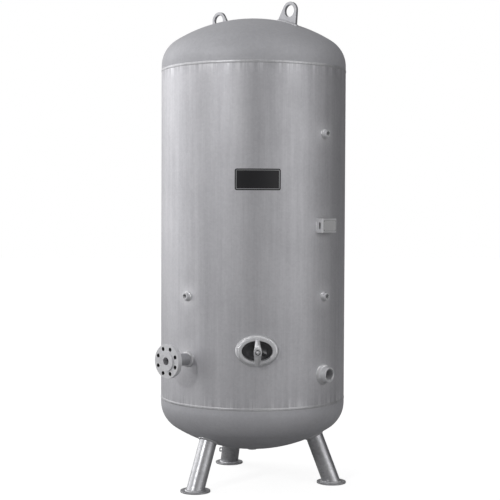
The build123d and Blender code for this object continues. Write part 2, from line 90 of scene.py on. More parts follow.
def sideways(azimuth: float) -> Vector:
    """Unit vector to the right of someone who faces the vessel at an azimuth in degrees."""
    return Vector((cos(radians(azimuth)), sin(radians(azimuth)), 0))


def polar(distance: float, angle: float) -> tuple[float, float]:
    """Coordinates of a point at a distance and an angle in radians."""
    return distance * cos(angle), distance * sin(angle)


def axes_matrix(right: Vector, up: Vector, out: Vector, origin: Vector) -> Matrix:
    """Matrix that takes local x, y and z to three directions at an origin."""
    turned = Matrix((right, up, out)).transposed().to_4x4()
    return Matrix.Translation(origin) @ turned


@dataclass(frozen=True)
class Branch:
    """Place of a fitting that stands out from the shell along a radius."""

    azimuth: float
    level: float

    def at(self, right: float, up: float, out: float) -> Vector:
        """Point at distances right of and above the branch's middle, and out from the vessel's axis."""
        return sideways(self.azimuth) * right + UP * (self.level + up) + outward(self.azimuth) * out

    def matrix(self, out: float = 0.0) -> Matrix:
        """Frame with z along the branch, starting at a distance from the vessel's axis."""
        return axes_matrix(sideways(self.azimuth), UP, outward(self.azimuth), self.at(0, 0, out))


@dataclass(frozen=True)
class VesselForm:
    """Outside of the vessel: a cylinder between two heads, each with a crown arc and a knuckle arc."""

    radius: float
    bottom_seam: float
    top_seam: float
    straight_flange: float = 26 * MM
    crown_ratio: float = 0.8
    knuckle_ratio: float = 0.154

    @property
    def crown_radius(self) -> float:
        """Radius of a head's crown."""
        return self.crown_ratio * 2 * self.radius

    @property
    def knuckle_radius(self) -> float:
        """Radius of a head's knuckle."""
        return self.knuckle_ratio * 2 * self.radius

    @property
    def crown_angle(self) -> float:
        """Angle from a head's pole to the edge of its crown, seen from the crown's centre."""
        span = self.radius - self.knuckle_radius
        return asin(span / (self.crown_radius - self.knuckle_radius))

    @property
    def head_depth(self) -> float:
        """Height of a head's pole over its knuckle line."""
        return self.crown_radius - (self.crown_radius - self.knuckle_radius) * cos(self.crown_angle)

    def knuckle_line(self, end: End) -> float:
        """Level where a head's curve starts."""
        seam = self.top_seam if end is End.TOP else self.bottom_seam
        return seam + end.value * self.straight_flange

    def head_rise(self, distance: float) -> float:
        """Height of a head over its knuckle line at a distance from the axis."""
        distance = min(distance, self.radius)
        if distance < self.crown_radius * sin(self.crown_angle):
            return self.head_depth - self.crown_radius + sqrt(self.crown_radius**2 - distance**2)
        offset = distance - (self.radius - self.knuckle_radius)
        return sqrt(max(self.knuckle_radius**2 - offset**2, 0))

    def head_level(self, point: Vector, end: End) -> float:
        """Level of a head's outside above or below a point."""
        return self.knuckle_line(end) + end.value * self.head_rise(hypot(point.x, point.y))

    def shell_reach(self, right: float) -> float:
        """Distance of the shell from the axis, along a branch, at an offset to its side."""
        return sqrt(self.radius**2 - right**2)

    def head_outline(self, end: End, growth: float, steps: int, start: float = 0.0) -> Outline:
        """Points of a head's curve from near its pole to its knuckle line.

        Args:
            end: The head.
            growth: How far the curve lies outside the vessel's outside.
            steps: Number of spans in each of the two arcs.
            start: Distance from the axis where the curve starts.

        Returns:
            Points as distance from the axis and level.
        """
        crown, knuckle = self.crown_radius + growth, self.knuckle_radius + growth
        line = self.knuckle_line(end)
        first = asin(start / crown)
        points = []
        for step in range(steps):
            angle = first + (self.crown_angle - first) * step / steps
            rise = self.head_depth - self.crown_radius + crown * cos(angle)
            points.append((crown * sin(angle), line + end.value * rise))
        for step in range(steps + 1):
            angle = self.crown_angle + (pi / 2 - self.crown_angle) * step / steps
            reach = self.radius - self.knuckle_radius + knuckle * sin(angle)
            points.append((reach, line + end.value * knuckle * cos(angle)))
        return points


# Mesh helpers


def round_corners(
    corners: Sequence[tuple[float, float, float]], steps: int = 4, closed: bool = True
) -> Outline:
    """Outline with its corners rounded.

    Args:
        corners: Corner points in order, each with the radius of its rounding.
        steps: Number of spans in each rounding.
        closed: Whether the outline runs from its last corner back to its first.

    Returns:
        The outline's points.
    """
    points: Outline = []
    count = len(corners)
    for index, (x, y, radius) in enumerate(corners):
        corner = Vector((x, y))
        if radius == 0 or (not closed and index in (0, count - 1)):
            points.append((x, y))
            continue
        before = (Vector(corners[index - 1][:2]) - corner).normalized()
        after = (Vector(corners[(index + 1) % count][:2]) - corner).normalized()
        half = before.angle(after) / 2
        if half > radians(89.5):
            points += [(x, y)] * (steps + 1)
            continue
        centre = corner + (before + after).normalized() * (radius / sin(half))
        first = corner + before * (radius / tan(half)) - centre
        last = corner + after * (radius / tan(half)) - centre
        swing = pi - 2 * half
        for step in range(steps + 1):
            share = step / steps
            weight = sin((1 - share) * swing), sin(share * swing)
            point = centre + (first * weight[0] + last * weight[1]) / sin(swing)
            points.append((point.x, point.y))
    return points


def rectangle(
    across: tuple[float, float], up: tuple[float, float], radii: Sequence[float], steps: int
) -> Outline:
    """Rectangle with rounded corners.

    Args:
        across: Lowest and highest first coordinate.
        up: Lowest and highest second coordinate.
        radii: Rounding of each corner, anticlockwise from the lowest of both.
        steps: Number of spans in each rounding.

    Returns:
        The rectangle's points.
    """
    corners = ((across[0], up[0]), (across[1], up[0]), (across[1], up[1]), (across[0], up[1]))
    return round_corners([(*corner, radius) for corner, radius in zip(corners, radii)], steps)


def spun(
    points: Outline, steps: int, place: Matrix = Matrix.Identity(4), closed: bool = True
) -> Mesh:
    """Turns an outline of (radius, height) points once round the local z axis.

    Args:
        points: The outline.
        steps: Number of segments in the turn.
        place: Matrix that takes the turned shape to its place.
        closed: Whether the outline's last point joins its first.

    Returns:
        The turned shape, with its poles merged.
    """
    bm = bmesh.new()
    verts = [bm.verts.new((radius, 0, height)) for radius, height in points]
    edges = [bm.edges.new(pair) for pair in zip(verts, verts[1:])]
    if closed:
        edges.append(bm.edges.new((verts[-1], verts[0])))
    bmesh.ops.spin(
        bm, geom=verts + edges, cent=(0, 0, 0), axis=(0, 0, 1), dvec=(0, 0, 0),
        angle=TURN, steps=steps, use_merge=True, use_normal_flip=False, use_duplicate=False,
    )
    bmesh.ops.remove_doubles(bm, verts=bm.verts, dist=MERGE)
    bmesh.ops.transform(bm, matrix=place, verts=bm.verts)
    return bm


def swept(along: int, around: int, place: Callable[[float, float], Vector]) -> Mesh:
    """Bends a flat grid into a ring, a bar or a skin.

    Args:
        along: Number of grid cells along the path.
        around: Number of grid cells across it.
        place: Gives a point from its shares of the way along and across, each from 0 to 1.

    Returns:
        The bent grid, with the edges that meet merged.
    """
    bm = bmesh.new()
    grid = bmesh.ops.create_grid(bm, x_segments=along, y_segments=around, size=0.5)
    for vert in grid["verts"]:
        vert.co = place(vert.co.x + 0.5, vert.co.y + 0.5)
    bmesh.ops.remove_doubles(bm, verts=bm.verts, dist=MERGE)
    return bm


def close_ends(bm: Mesh) -> None:
    """Fills the open ends of a swept bar."""
    bmesh.ops.holes_fill(bm, edges=[edge for edge in bm.edges if edge.is_boundary], sides=0)


def swept_section(
    along: int, section: Callable[[float], Outline], place: Callable[[float, float, float], Vector]
) -> Mesh:
    """Sweeps a closed section whose outline may change along a path.

    Args:
        along: Number of stations along the path, less one.
        section: Gives the section's outline at a share of the way along. Its number of points stays the same.
        place: Gives a point from the share of the way along and the section's two coordinates.

    Returns:
        The swept shape.
    """
    outlines = [section(step / along) for step in range(along + 1)]
    around = len(outlines[0])

    def locate(share: float, turn: float) -> Vector:
        """Place of the section point nearest to a turn."""
        first, second = outlines[round(share * along)][round(turn * around) % around]
        return place(share, first, second)

    return swept(along, around, locate)


def verts_of(geometry: Sequence[bmesh.types.BMVert | bmesh.types.BMEdge]) -> list[bmesh.types.BMVert]:
    """Vertices among what an operator returns."""
    return [item for item in geometry if isinstance(item, bmesh.types.BMVert)]


def thicken(bm: Mesh, wall: float) -> None:
    """Turns an open skin outwards from the vessel's axis and gives it a wall."""
    bmesh.ops.recalc_face_normals(bm, faces=bm.faces)
    first = bm.faces[0]
    if first.normal.dot(Vector((*first.calc_center_median()[:2], 0))) < 0:
        bmesh.ops.reverse_faces(bm, faces=bm.faces)
    bmesh.ops.solidify(bm, geom=bm.faces[:], thickness=wall)


def plate(outline: Outline, holes: Sequence[Outline], thickness: float) -> Mesh:
    """Flat plate with holes, from local z = 0 up to its thickness."""
    bm = bmesh.new()
    edges = []
    for loop in (outline, *holes):
        verts = [bm.verts.new((x, y, 0)) for x, y in loop]
        edges += [bm.edges.new(pair) for pair in zip(verts, verts[1:] + verts[:1])]
    bmesh.ops.triangle_fill(bm, use_beauty=True, use_dissolve=False, edges=edges)
    raised = bmesh.ops.extrude_face_region(bm, geom=bm.faces[:], use_keep_orig=True)
    bmesh.ops.translate(bm, vec=(0, 0, thickness), verts=verts_of(raised["geom"]))
    return bm


def circle(radius: float, steps: int, middle: tuple[float, float] = (0.0, 0.0)) -> Outline:
    """Round outline."""
    angles = [TURN * step / steps for step in range(steps)]
    return [(middle[0] + radius * cos(angle), middle[1] + radius * sin(angle)) for angle in angles]


def joined(*parts: Mesh) -> Mesh:
    """Puts several meshes into one."""
    whole = bmesh.new()
    for part in parts:
        bmesh.ops.recalc_face_normals(part, faces=part.faces)
        carrier = bpy.data.meshes.new("carrier")
        part.to_mesh(carrier)
        part.free()
        whole.from_mesh(carrier)
        bpy.data.meshes.remove(carrier)
    return whole


def moved(bm: Mesh, place: Matrix) -> Mesh:
    """Takes a mesh to its place."""
    bmesh.ops.transform(bm, matrix=place, verts=bm.verts)
    return bm


def thread(
    root: float, tip: float, pitch: float, length: float, place: Matrix, steps: int = 40
) -> Mesh:
    """Helical ridge of a screw thread.

    Args:
        root: Radius of the wall that the ridge stands on.
        tip: Radius of the ridge's crest, larger than the root's on a stud and smaller in a bore.
        pitch: Advance of one turn.
        length: Length of the threaded stretch.
        place: Frame with z along the thread, starting at its first turn.
        steps: Segments in one turn.

    Returns:
        The ridge as a closed mesh.
    """
    turns = max(1, int(length / pitch) - 1)
    foot, crest, sunk_share = 0.46 * pitch, 0.08 * pitch, 0.3
    sunk = root - (tip - root) * sunk_share
    bm = bmesh.new()
    section = ((sunk, -foot), (tip, -crest), (tip, crest), (sunk, foot))
    verts = [bm.verts.new((radius, 0, height + pitch / 2)) for radius, height in section]
    face = bm.faces.new(verts)
    bmesh.ops.spin(
        bm, geom=verts + list(face.edges) + [face], cent=(0, 0, 0), axis=(0, 0, 1),
        dvec=(0, 0, pitch / steps), angle=TURN * turns, steps=steps * turns,
        use_merge=False, use_normal_flip=False, use_duplicate=False,
    )
    bmesh.ops.remove_doubles(bm, verts=bm.verts, dist=MERGE / 4)
    return moved(bm, place)


def carve(piece: bpy.types.Object, cutter: Mesh) -> None:
    """Cuts a closed shape out of a piece."""
    tool_mesh = bpy.data.meshes.new("cutter")
    bmesh.ops.recalc_face_normals(cutter, faces=cutter.faces)
    cutter.to_mesh(tool_mesh)
    cutter.free()
    tool = bpy.data.objects.new("cutter", tool_mesh)
    bpy.context.scene.collection.objects.link(tool)
    modifier = piece.modifiers.new("cut", "BOOLEAN")
    modifier.operation = "DIFFERENCE"
    modifier.solver = "EXACT"
    modifier.object = tool
    evaluated = piece.evaluated_get(bpy.context.evaluated_depsgraph_get())
    result = bpy.data.meshes.new_from_object(evaluated)
    piece.modifiers.remove(modifier)
    spent, piece.data = piece.data, result
    result.name = spent.name
    bpy.data.meshes.remove(spent)
    bpy.data.objects.remove(tool)
    bpy.data.meshes.remove(tool_mesh)


# Weld beads


@dataclass(frozen=True)
class Corner:
    """Inside corner that a fillet weld fills at one place along its path."""

    root: Vector
    along_host: Vector
    along_wall: Vector


@dataclass(frozen=True)
class FilletWeld:
    """Hand-laid fillet weld with a rippled, slightly uneven face."""

    leg: float
    rise: float
    ripple_pitch: float = 4.5 * MM
    ripple_depth: float = 0.10
    unevenness: float = 0.09
    roundness: float = 0.55
    spans: int = 8
    sunk: float = 1.2 * MM
    ripple_lag: float = 0.8
    noise_scale: float = 12.0

    @property
    def around(self) -> int:
        """Number of spans round the whole section, three of them inside the metal."""
        return self.spans + 3

    def section(self, share: float) -> tuple[float, float]:
        """Point of the bead's section, as shares of its leg and its rise."""
        face = self.spans / self.around
        if share <= face + 1e-6:
            quarter = share / face
            angle = quarter * pi / 2
            flat = (1 - quarter, quarter)
            full = (cos(angle), sin(angle))
            return tuple(a + (b - a) * self.roundness for a, b in zip(flat, full))
        behind, below = -self.sunk / self.leg, -self.sunk / self.rise
        hidden = ((behind, 1.0), (behind, below), (1.0, 0.0))
        return hidden[min(round((share - face) * self.around), len(hidden)) - 1]

    def ring(self, length: float, corner: Callable[[float], Corner], seed: float) -> Mesh:
        """Bead that closes on itself round a fitting.

        Args:
            length: Length of the bead.
            corner: Gives the corner that the bead fills at a share of the way round.
            seed: Number that sets this bead's own unevenness.

        Returns:
            The bead.
        """
        ripples = max(12, round(length / self.ripple_pitch))

        def place(turn: float, share: float) -> Vector:
            """Point of the bead's skin."""
            here = corner(turn % 1.0)
            away, high = self.section(share)
            swell = 1.0
            if away > 0.02 or high > 0.02:
                lag = self.ripple_lag * sin(pi * min(share * 1.4, 1.0))
                wave = sin(TURN * (ripples * turn - lag))
                spot = Vector((cos(TURN * turn), sin(TURN * turn), seed))
                swell += self.ripple_depth * wave * min(1.0, 4 * min(away + 0.1, high + 0.1))
                swell += self.unevenness * noise.noise(spot * (length * self.noise_scale))
            step_out = here.along_host * (away * self.leg * swell)
            return here.root + step_out + here.along_wall * (high * self.rise * swell)

        return swept(ripples * 6, self.around, place)


# Shader maths


def operator(operation: str, reflected: bool = False) -> Callable[["Value", "float | Value"], "Value"]:
    """Makes an arithmetic operator for values.

    Args:
        operation: The Math node's operation.
        reflected: Whether the other term stands in front.

    Returns:
        A method that adds the Math node.
    """

    def apply(value: "Value", other: "float | Value") -> "Value":
        """Adds the Math node."""
        return value.maths(operation, *((other, value) if reflected else (value, other)))

    return apply


class Value:
    """A node's output that can stand in an arithmetic expression."""

    def __init__(self, book: "NodeBook", socket: bpy.types.NodeSocket) -> None:
        """Keeps the socket and the book that adds further nodes."""
        self.book = book
        self.socket = socket

    def maths(self, operation: str, *terms: "float | Value") -> "Value":
        """Adds one Math node."""
        return self.book.node("Math", {"operation": operation}, dict(enumerate(terms)))

    __add__, __radd__ = operator("ADD"), operator("ADD", reflected=True)
    __sub__, __rsub__ = operator("SUBTRACT"), operator("SUBTRACT", reflected=True)
    __mul__, __rmul__ = operator("MULTIPLY"), operator("MULTIPLY", reflected=True)
    __truediv__, __rtruediv__ = operator("DIVIDE"), operator("DIVIDE", reflected=True)

    def __abs__(self) -> "Value":
        """Absolute value."""
        return self.maths("ABSOLUTE", self)

    def root(self) -> "Value":
        """Square root."""
        return self.maths("SQRT", self)

    def angle_over(self, other: "Value") -> "Value":
        """Angle whose tangent is this value over another."""
        return self.maths("ARCTAN2", self, other)

    def at_least(self, low: "float | Value") -> "Value":
        """The larger of two values."""
        return self.maths("MAXIMUM", self, low)

    def at_most(self, high: "float | Value") -> "Value":
        """The smaller of two values."""
        return self.maths("MINIMUM", self, high)

    def clamp(self) -> "Value":
        """This value kept between 0 and 1."""
        return self.at_least(0.0).at_most(1.0)

    def step_over(self, low: float, high: float) -> "Value":
        """Smooth rise from 0 to 1 as this value goes from low to high."""
        share = ((self - low) / (high - low)).clamp()
        return share * share * (3.0 - 2.0 * share)

    def also(self, output: int | str) -> "Value":
        """Another output of the same node."""
        return Value(self.book, self.socket.node.outputs[output])


class NodeBook:
    """Adds nodes to one tree."""

    def __init__(self, tree: bpy.types.NodeTree) -> None:
        """Starts with an empty tree."""
        self.tree = tree
        tree.nodes.clear()

    def node(
        self, kind: str, settings: dict | None = None, inputs: dict | None = None, output: int | str = 0
    ) -> Value:
        """Adds a node.

        Args:
            kind: Node type, without the "ShaderNode" that all of them start with.
            settings: Attributes of the node, or "stops" for a ramp's positions and brightnesses.
            inputs: Value or link of each socket, by name or number.
            output: Which output the result stands for.

        Returns:
            The node's output.
        """
        made = self.tree.nodes.new(f"ShaderNode{kind}")
        for name, setting in (settings or {}).items():
            if name == "stops":
                self._set_stops(made.color_ramp, setting)
            else:
                setattr(made, name, setting)
        for name, value in (inputs or {}).items():
            if isinstance(value, Value):
                self.tree.links.new(value.socket, made.inputs[name])
            else:
                made.inputs[name].default_value = value
        return Value(self, made.outputs[output]) if made.outputs else Value(self, None)

    @staticmethod
    def _set_stops(ramp: bpy.types.ColorRamp, stops: Sequence[tuple[float, float]]) -> None:
        """Sets a ramp's stops to greys."""
        while len(ramp.elements) > 1:
            ramp.elements.remove(ramp.elements[-1])
        for index, (position, brightness) in enumerate(stops):
            element = ramp.elements[0] if index == 0 else ramp.elements.new(position)
            element.position = position
            element.color = (brightness, brightness, brightness, 1)

    def coordinates(self) -> Value:
        """Object coordinates, in metres from the vessel's foot."""
        return self.node("TexCoord", output="Object")

    def scaled(self, place: Value, scale: Scale) -> Value:
        """Coordinates stretched along each axis."""
        return self.node("Mapping", {}, {"Vector": place, "Scale": scale})

    def grain(self, place: Value, scale: float, detail: float = 2.0, roughness: float = 0.5) -> Value:
        """Cloudy pattern between 0 and 1."""
        inputs = {"Vector": place, "Scale": scale, "Detail": detail, "Roughness": roughness}
        return self.node("TexNoise", {}, inputs)

    def blend(self, share: "float | Value", first: "Colour | Value", second: "Colour | Value") -> Value:
        """Mix of two colours."""
        colours = [(*tone, 1.0) if isinstance(tone, tuple) else tone for tone in (first, second)]
        return self.node("Mix", {"data_type": "RGBA"}, {0: share, 6: colours[0], 7: colours[1]}, 2)

    def bump(self, height: Value, distance: float, under: Value | None = None) -> Value:
        """Normal bent by a height pattern, over another bump if there is one."""
        inputs = {"Height": height, "Distance": distance, "Strength": 1.0}
        if under is not None:
            inputs["Normal"] = under
        return self.node("Bump", {}, inputs)

    def by_sight(self, unseen: Value, seen: Value) -> Value:
        """Shader that lights the scene in one way and looks another way to the eye."""
        looked_at = self.node("LightPath", {}, {}, "Is Camera Ray")
        return self.node("MixShader", {}, {0: looked_at, 1: unseen, 2: seen})

    def surface(self, **inputs: "float | Colour | Value") -> None:
        """Adds the surface shader and the output, with the shader's sockets by name."""
        sockets = {}
        for name, value in inputs.items():
            value = (*value, 1.0) if isinstance(value, tuple) else value
            sockets[name.replace("_", " ").title()] = value
        shader = self.node("BsdfPrincipled", {}, sockets)
        self.node("OutputMaterial", {}, {"Surface": shader})


# Finishes


@dataclass(frozen=True)
class Finish:
    """A material that several pieces share, with the record's slot that it belongs to."""

    name: str
    slot: str

    def material(self) -> bpy.types.Material:
        """The finish's material, made when it is first asked for."""
        title = f"look_{self.name}"
        known = bpy.data.materials.get(title)
        if known:
            return known
        made = bpy.data.materials.new(title)
        made.use_nodes = True
        self.draw(NodeBook(made.node_tree))
        return made

    def draw(self, book: NodeBook) -> None:
        """Adds the finish's nodes."""
        raise NotImplementedError


@dataclass(frozen=True)
class ZincFinish(Finish):
    """Hot-dip galvanised steel: satin zinc with faint crystals, cloudy patches and drawn-out streaks."""

    dark: Colour = (0.44, 0.438, 0.465)
    light: Colour = (0.76, 0.755, 0.785)
    metallic: float = 0.60
    roughness: float = 0.48
    patchiness: float = 0.55
    streaks: float = 0.6
    bands: float = 0.7
    crystals: float = 0.12
    grit: float = 0.10 * MM
    waviness: float = 0.12 * MM
    patch_scale: float = 3.1
    crystal_scale: float = 95.0
    wear_scale: float = 9.0
    pit_scale: float = 620.0
    wave_scale: float = 11.0
    wave_gain: float = 10.0
    streak_stretch: Scale = (38.0, 38.0, 1.3)
    fine_stretch: Scale = (170.0, 170.0, 6.0)
    band_stretch: Scale = (9.0, 9.0, 0.35)
    wave_stretch: Scale = (1.0, 1.0, 0.55)
    streak_share: float = 0.8
    fine_share: float = 0.4
    wear_share: float = 0.12
    tone_share: float = 0.12
    band_share: float = 0.2
    drip_range: tuple[float, float] = (0.42, 0.68)
    seam_gain: float = 0.8
    seam_loss: float = 0.16
    # Strength of the painted highlight round each fitting.
    highlight_halo_gain: float = 0.9
    seam_levels: tuple[float, ...] = ()
    seam_reach: float = 60 * MM
    # Middle and reach of each painted highlight round a fitting.
    highlight_halos: tuple[tuple[float, float, float, float], ...] = ()

    def brightening(self, book: NodeBook, place: Value, streaks: Value) -> "float | Value":
        """Bright zinc drips beside the seams, and a painted highlight round the fittings.

        Args:
            book: The material's nodes.
            place: Object coordinates.
            streaks: Pattern of upright streaks.

        Returns:
            What is added to the tone.
        """
        total: float | Value = 0.0
        level = book.node("SeparateXYZ", {}, {0: place}, "Z")
        drips = streaks.step_over(*self.drip_range) if self.seam_levels else streaks
        for seam in self.seam_levels:
            near = 1.0 - (abs(level - seam) / self.seam_reach).clamp()
            total = total + near * (self.seam_gain * drips - self.seam_loss)
        # Painted highlight: brighter zinc in a halo round each fitting.
        for x, y, z, reach in self.highlight_halos:
            ends = {0: place, 1: (x, y, z)}
            distance = book.node("VectorMath", {"operation": "DISTANCE"}, ends, "Value")
            near = 1.0 - (distance / reach).clamp()
            total = total + self.highlight_halo_gain * near * near
        return total

    def draw(self, book: NodeBook) -> None:
        """Adds the finish's nodes."""
        place = book.coordinates()
        patches = book.grain(place, self.patch_scale, detail=3.0, roughness=0.55)
        streaks = book.grain(book.scaled(place, self.streak_stretch), 1.0, detail=4.0, roughness=0.6)
        fine_streaks = book.grain(book.scaled(place, self.fine_stretch), 1.0, detail=3.0, roughness=0.6)
        bands = book.grain(book.scaled(place, self.band_stretch), 1.0)
        cells = {"Vector": place, "Scale": self.crystal_scale}
        crystals = book.node("TexVoronoi", {}, cells, "Color")
        crystal_tone = book.node("SeparateColor", {}, {0: crystals})
        tone = (
            0.5
            + self.patchiness * (patches - 0.5)
            + self.streaks * self.streak_share * (streaks - 0.5)
            + self.streaks * self.fine_share * (fine_streaks - 0.5)
            + self.bands * (bands - 0.5)
            + self.crystals * (crystal_tone - 0.5)
            + self.brightening(book, place, streaks)
        ).clamp()
        wear = book.grain(place, self.wear_scale, detail=5.0, roughness=0.62)
        rough = (
            self.roughness
            + self.wear_share * (wear - 0.5)
            + self.tone_share * (0.5 - tone)
            + self.bands * self.band_share * (bands - 0.5)
        )
        pits = book.grain(place, self.pit_scale, detail=3.0, roughness=0.6)
        waves = book.grain(book.scaled(place, self.wave_stretch), self.wave_scale, roughness=0.45)
        coarse = book.bump(waves, self.waviness * self.wave_gain)
        book.surface(
            base_color=book.blend(tone, self.dark, self.light),
            metallic=self.metallic,
            roughness=rough,
            normal=book.bump(pits, self.grit, coarse),
        )


@dataclass(frozen=True)
class DarkPaintAndShadeFinish(Finish):
    """Dark paint on pressed steel, a little uneven, with dust lying in it; its near-black colour also paints
    in the shade deep inside the handhole ring.
    """

    # Near-black: dark paint, together with painted shade for the cover's deep place in the ring.
    colour: Colour = (0.10, 0.10, 0.104)
    dust: Colour = (0.20, 0.197, 0.192)
    metallic: float = 0.85
    roughness: float = 0.44
    dust_scale: float = 60.0
    dust_range: tuple[float, float] = (0.52, 0.80)
    dust_cover: float = 0.6
    dust_roughness: float = 0.20
    peel_scale: float = 420.0
    peel_depth: float = 0.12 * MM

    def draw(self, book: NodeBook) -> None:
        """Adds the finish's nodes."""
        place = book.coordinates()
        dust = book.grain(place, self.dust_scale, detail=5.0, roughness=0.65).step_over(*self.dust_range)
        peel = book.grain(place, self.peel_scale)
        book.surface(
            base_color=book.blend(dust * self.dust_cover, self.colour, self.dust),
            metallic=self.metallic,
            roughness=self.roughness + self.dust_roughness * dust,
            coat_weight=0.5,
            coat_roughness=0.35,
            normal=book.bump(peel, self.peel_depth),
        )


@dataclass(frozen=True)
class RubberFinish(Finish):
    """Matt black rubber with a faint grey bloom."""

    dark: Colour = (0.012, 0.012, 0.012)
    light: Colour = (0.030, 0.030, 0.030)
    roughness: float = 0.62
    bloom_scale: float = 90.0
    bloom_roughness: float = 0.15
    pit_scale: float = 900.0
    pit_depth: float = 0.08 * MM

    def draw(self, book: NodeBook) -> None:
        """Adds the finish's nodes."""
        place = book.coordinates()
        bloom = book.grain(place, self.bloom_scale, detail=3.0)
        book.surface(
            base_color=book.blend(bloom, self.dark, self.light),
            roughness=self.roughness + self.bloom_roughness * bloom,
            normal=book.bump(book.grain(place, self.pit_scale), self.pit_depth),
        )


@dataclass(frozen=True)
class FramedFinish(Finish):
    """Printed or etched face with a plain line just inside its edge and no lettering."""

    middle: Vector = field(default_factory=Vector)
    azimuth: float = 0.0
    width: float = 0.2
    height: float = 0.1
    corner: float = 8 * MM
    inset: float = 7 * MM
    line: float = 1.6 * MM
    ground: Colour = (0.012, 0.012, 0.014)
    ink: Colour = (0.55, 0.56, 0.57)
    metallic: float = 0.0
    roughness: float = 0.34
    line_range: tuple[float, float] = (0.5, 0.7)
    scuff_stretch: Scale = (1.0, 1.0, 0.4)
    scuff_scale: float = 140.0
    scuff_share: float = 0.35
    scuff_lift: float = 2.2
    scuff_roughness: float = 0.16
    scuff_depth: float = 0.05 * MM

    def draw(self, book: NodeBook) -> None:
        """Adds the finish's nodes."""
        place = book.coordinates()
        axes = book.node("SeparateXYZ", {}, {0: place})
        side = sideways(self.azimuth)
        across = axes * side.x + axes.also("Y") * side.y
        high = axes.also("Z") - self.middle.z
        half_width = self.width / 2 - self.corner
        half_height = self.height / 2 - self.corner
        past_side = (abs(across) - half_width).at_least(0.0)
        past_top = (abs(high) - half_height).at_least(0.0)
        edge = (past_side * past_side + past_top * past_top).root()
        within = (abs(across) - half_width).at_least(abs(high) - half_height).at_most(0.0)
        depth = self.corner - edge - within
        frame_line = (abs(depth - self.inset) / self.line).step_over(*self.line_range)
        stretched = book.scaled(place, self.scuff_stretch)
        scuffs = book.grain(stretched, self.scuff_scale, detail=4.0, roughness=0.6)
        scuffed = tuple(min(1.0, self.scuff_lift * channel) for channel in self.ground)
        ground = book.blend(self.scuff_share * scuffs, self.ground, scuffed)
        book.surface(
            base_color=book.blend(frame_line, self.ink, ground),
            metallic=self.metallic,
            roughness=self.roughness + self.scuff_roughness * (scuffs - 0.5),
            normal=book.bump(scuffs, self.scuff_depth),
        )


SHEET = ZincFinish("galvanised_shell", "galvanised_sheet")
HEAD = ZincFinish(
    "galvanised_head", "galvanised_sheet", dark=(0.41, 0.41, 0.435), light=(0.67, 0.67, 0.70), metallic=0.45,
    roughness=0.62, streaks=0.08, bands=0.0, patchiness=0.45,
)
LEG = ZincFinish(
    "galvanised_leg", "galvanised_tube", dark=(0.34, 0.34, 0.36), light=(0.72, 0.72, 0.74), metallic=0.75,
    roughness=0.38, streaks=0.3, bands=0.2, patchiness=0.9, crystals=0.3, waviness=0.02 * MM,
)
FORGING = ZincFinish(
    "galvanised_forging", "galvanised_forging", dark=(0.64, 0.64, 0.66), light=(0.88, 0.88, 0.90),
    metallic=0.45, roughness=0.46, streaks=0.05, bands=0.0, patchiness=0.6, grit=0.16 * MM,
)
PIPE = replace(
    FORGING, name="galvanised_pipe", dark=(0.34, 0.34, 0.36), light=(0.60, 0.60, 0.62), metallic=0.65,
    roughness=0.42, patchiness=0.8,
)
BOW = replace(
    FORGING, name="galvanised_bow", dark=(0.72, 0.72, 0.74), light=(0.95, 0.95, 0.97), metallic=0.80,
    roughness=0.34, grit=0.12 * MM,
)
LUG = replace(PIPE, name="galvanised_lug", light=(0.62, 0.62, 0.64), metallic=0.75, roughness=0.38)
# Painted shade: a near-black copy of the forging zinc for bore walls and hollows, standing in for the shade
# inside them.
PAINTED_BORE_SHADE = replace(
    FORGING, name="painted_bore_shade", dark=(0.035, 0.034, 0.033), light=(0.10, 0.098, 0.095),
    metallic=0.3, roughness=0.6, streaks=0.0, patchiness=0.8, grit=0.2 * MM,
)
BEAD = replace(
    FORGING, name="galvanised_weld", slot="weld_bead", dark=(0.62, 0.62, 0.64), light=(0.92, 0.92, 0.94),
    metallic=0.88, roughness=0.31, patchiness=0.7, grit=0.14 * MM,
)
SEAM = ZincFinish(
    "galvanised_seam", "weld_bead", dark=(0.36, 0.36, 0.38), light=(0.86, 0.86, 0.88), metallic=0.60,
    roughness=0.46, streaks=0.6, bands=0.6, patchiness=1.1, grit=0.2 * MM, waviness=0.3 * MM,
)
FASTENER = replace(
    FORGING, name="zinc_plate", slot="zinc_fastener", dark=(0.62, 0.62, 0.63), light=(0.82, 0.82, 0.83),
    metallic=0.55, roughness=0.30, patchiness=0.4, grit=0.05 * MM,
)
# The nut is drawn nearly black, much darker than the stud and washer.
DARK_NUT_STEEL = replace(
    FASTENER, name="dark_nut_steel", dark=(0.09, 0.09, 0.095), light=(0.20, 0.20, 0.205), metallic=0.9,
    roughness=0.34, streaks=0.0, patchiness=0.6, grit=0.06 * MM,
)
RIVET = replace(
    DARK_NUT_STEEL, name="bright_rivet", slot="rivet_metal", dark=(0.66, 0.66, 0.665),
    light=(0.80, 0.80, 0.805), metallic=0.95, roughness=0.22, patchiness=0.3, crystals=0.0,
    grit=0.03 * MM,
)
COVER_PAINT_AND_SHADE = DarkPaintAndShadeFinish("dark_paint_and_painted_shade", "cover_paint")
RUBBER = RubberFinish("gasket_rubber", "gasket_rubber")


# Presenting pieces


def object_from(bm: Mesh, name: str, sharp: float = 35.0) -> bpy.types.Object:
    """Makes an object at the origin from a mesh, with faces pointing outwards.

    Args:
        bm: The mesh, which is used up.
        name: Name of the object.
        sharp: Edges that turn by more than this angle in degrees are drawn sharp.

    Returns:
        The object.
    """
    bmesh.ops.recalc_face_normals(bm, faces=bm.faces)
    mesh = bpy.data.meshes.new(name)
    bm.to_mesh(mesh)
    bm.free()
    mesh.shade_smooth()
    mesh.set_sharp_from_angle(angle=radians(sharp))
    piece = bpy.data.objects.new(name, mesh)
    bpy.context.scene.collection.objects.link(piece)
    return piece


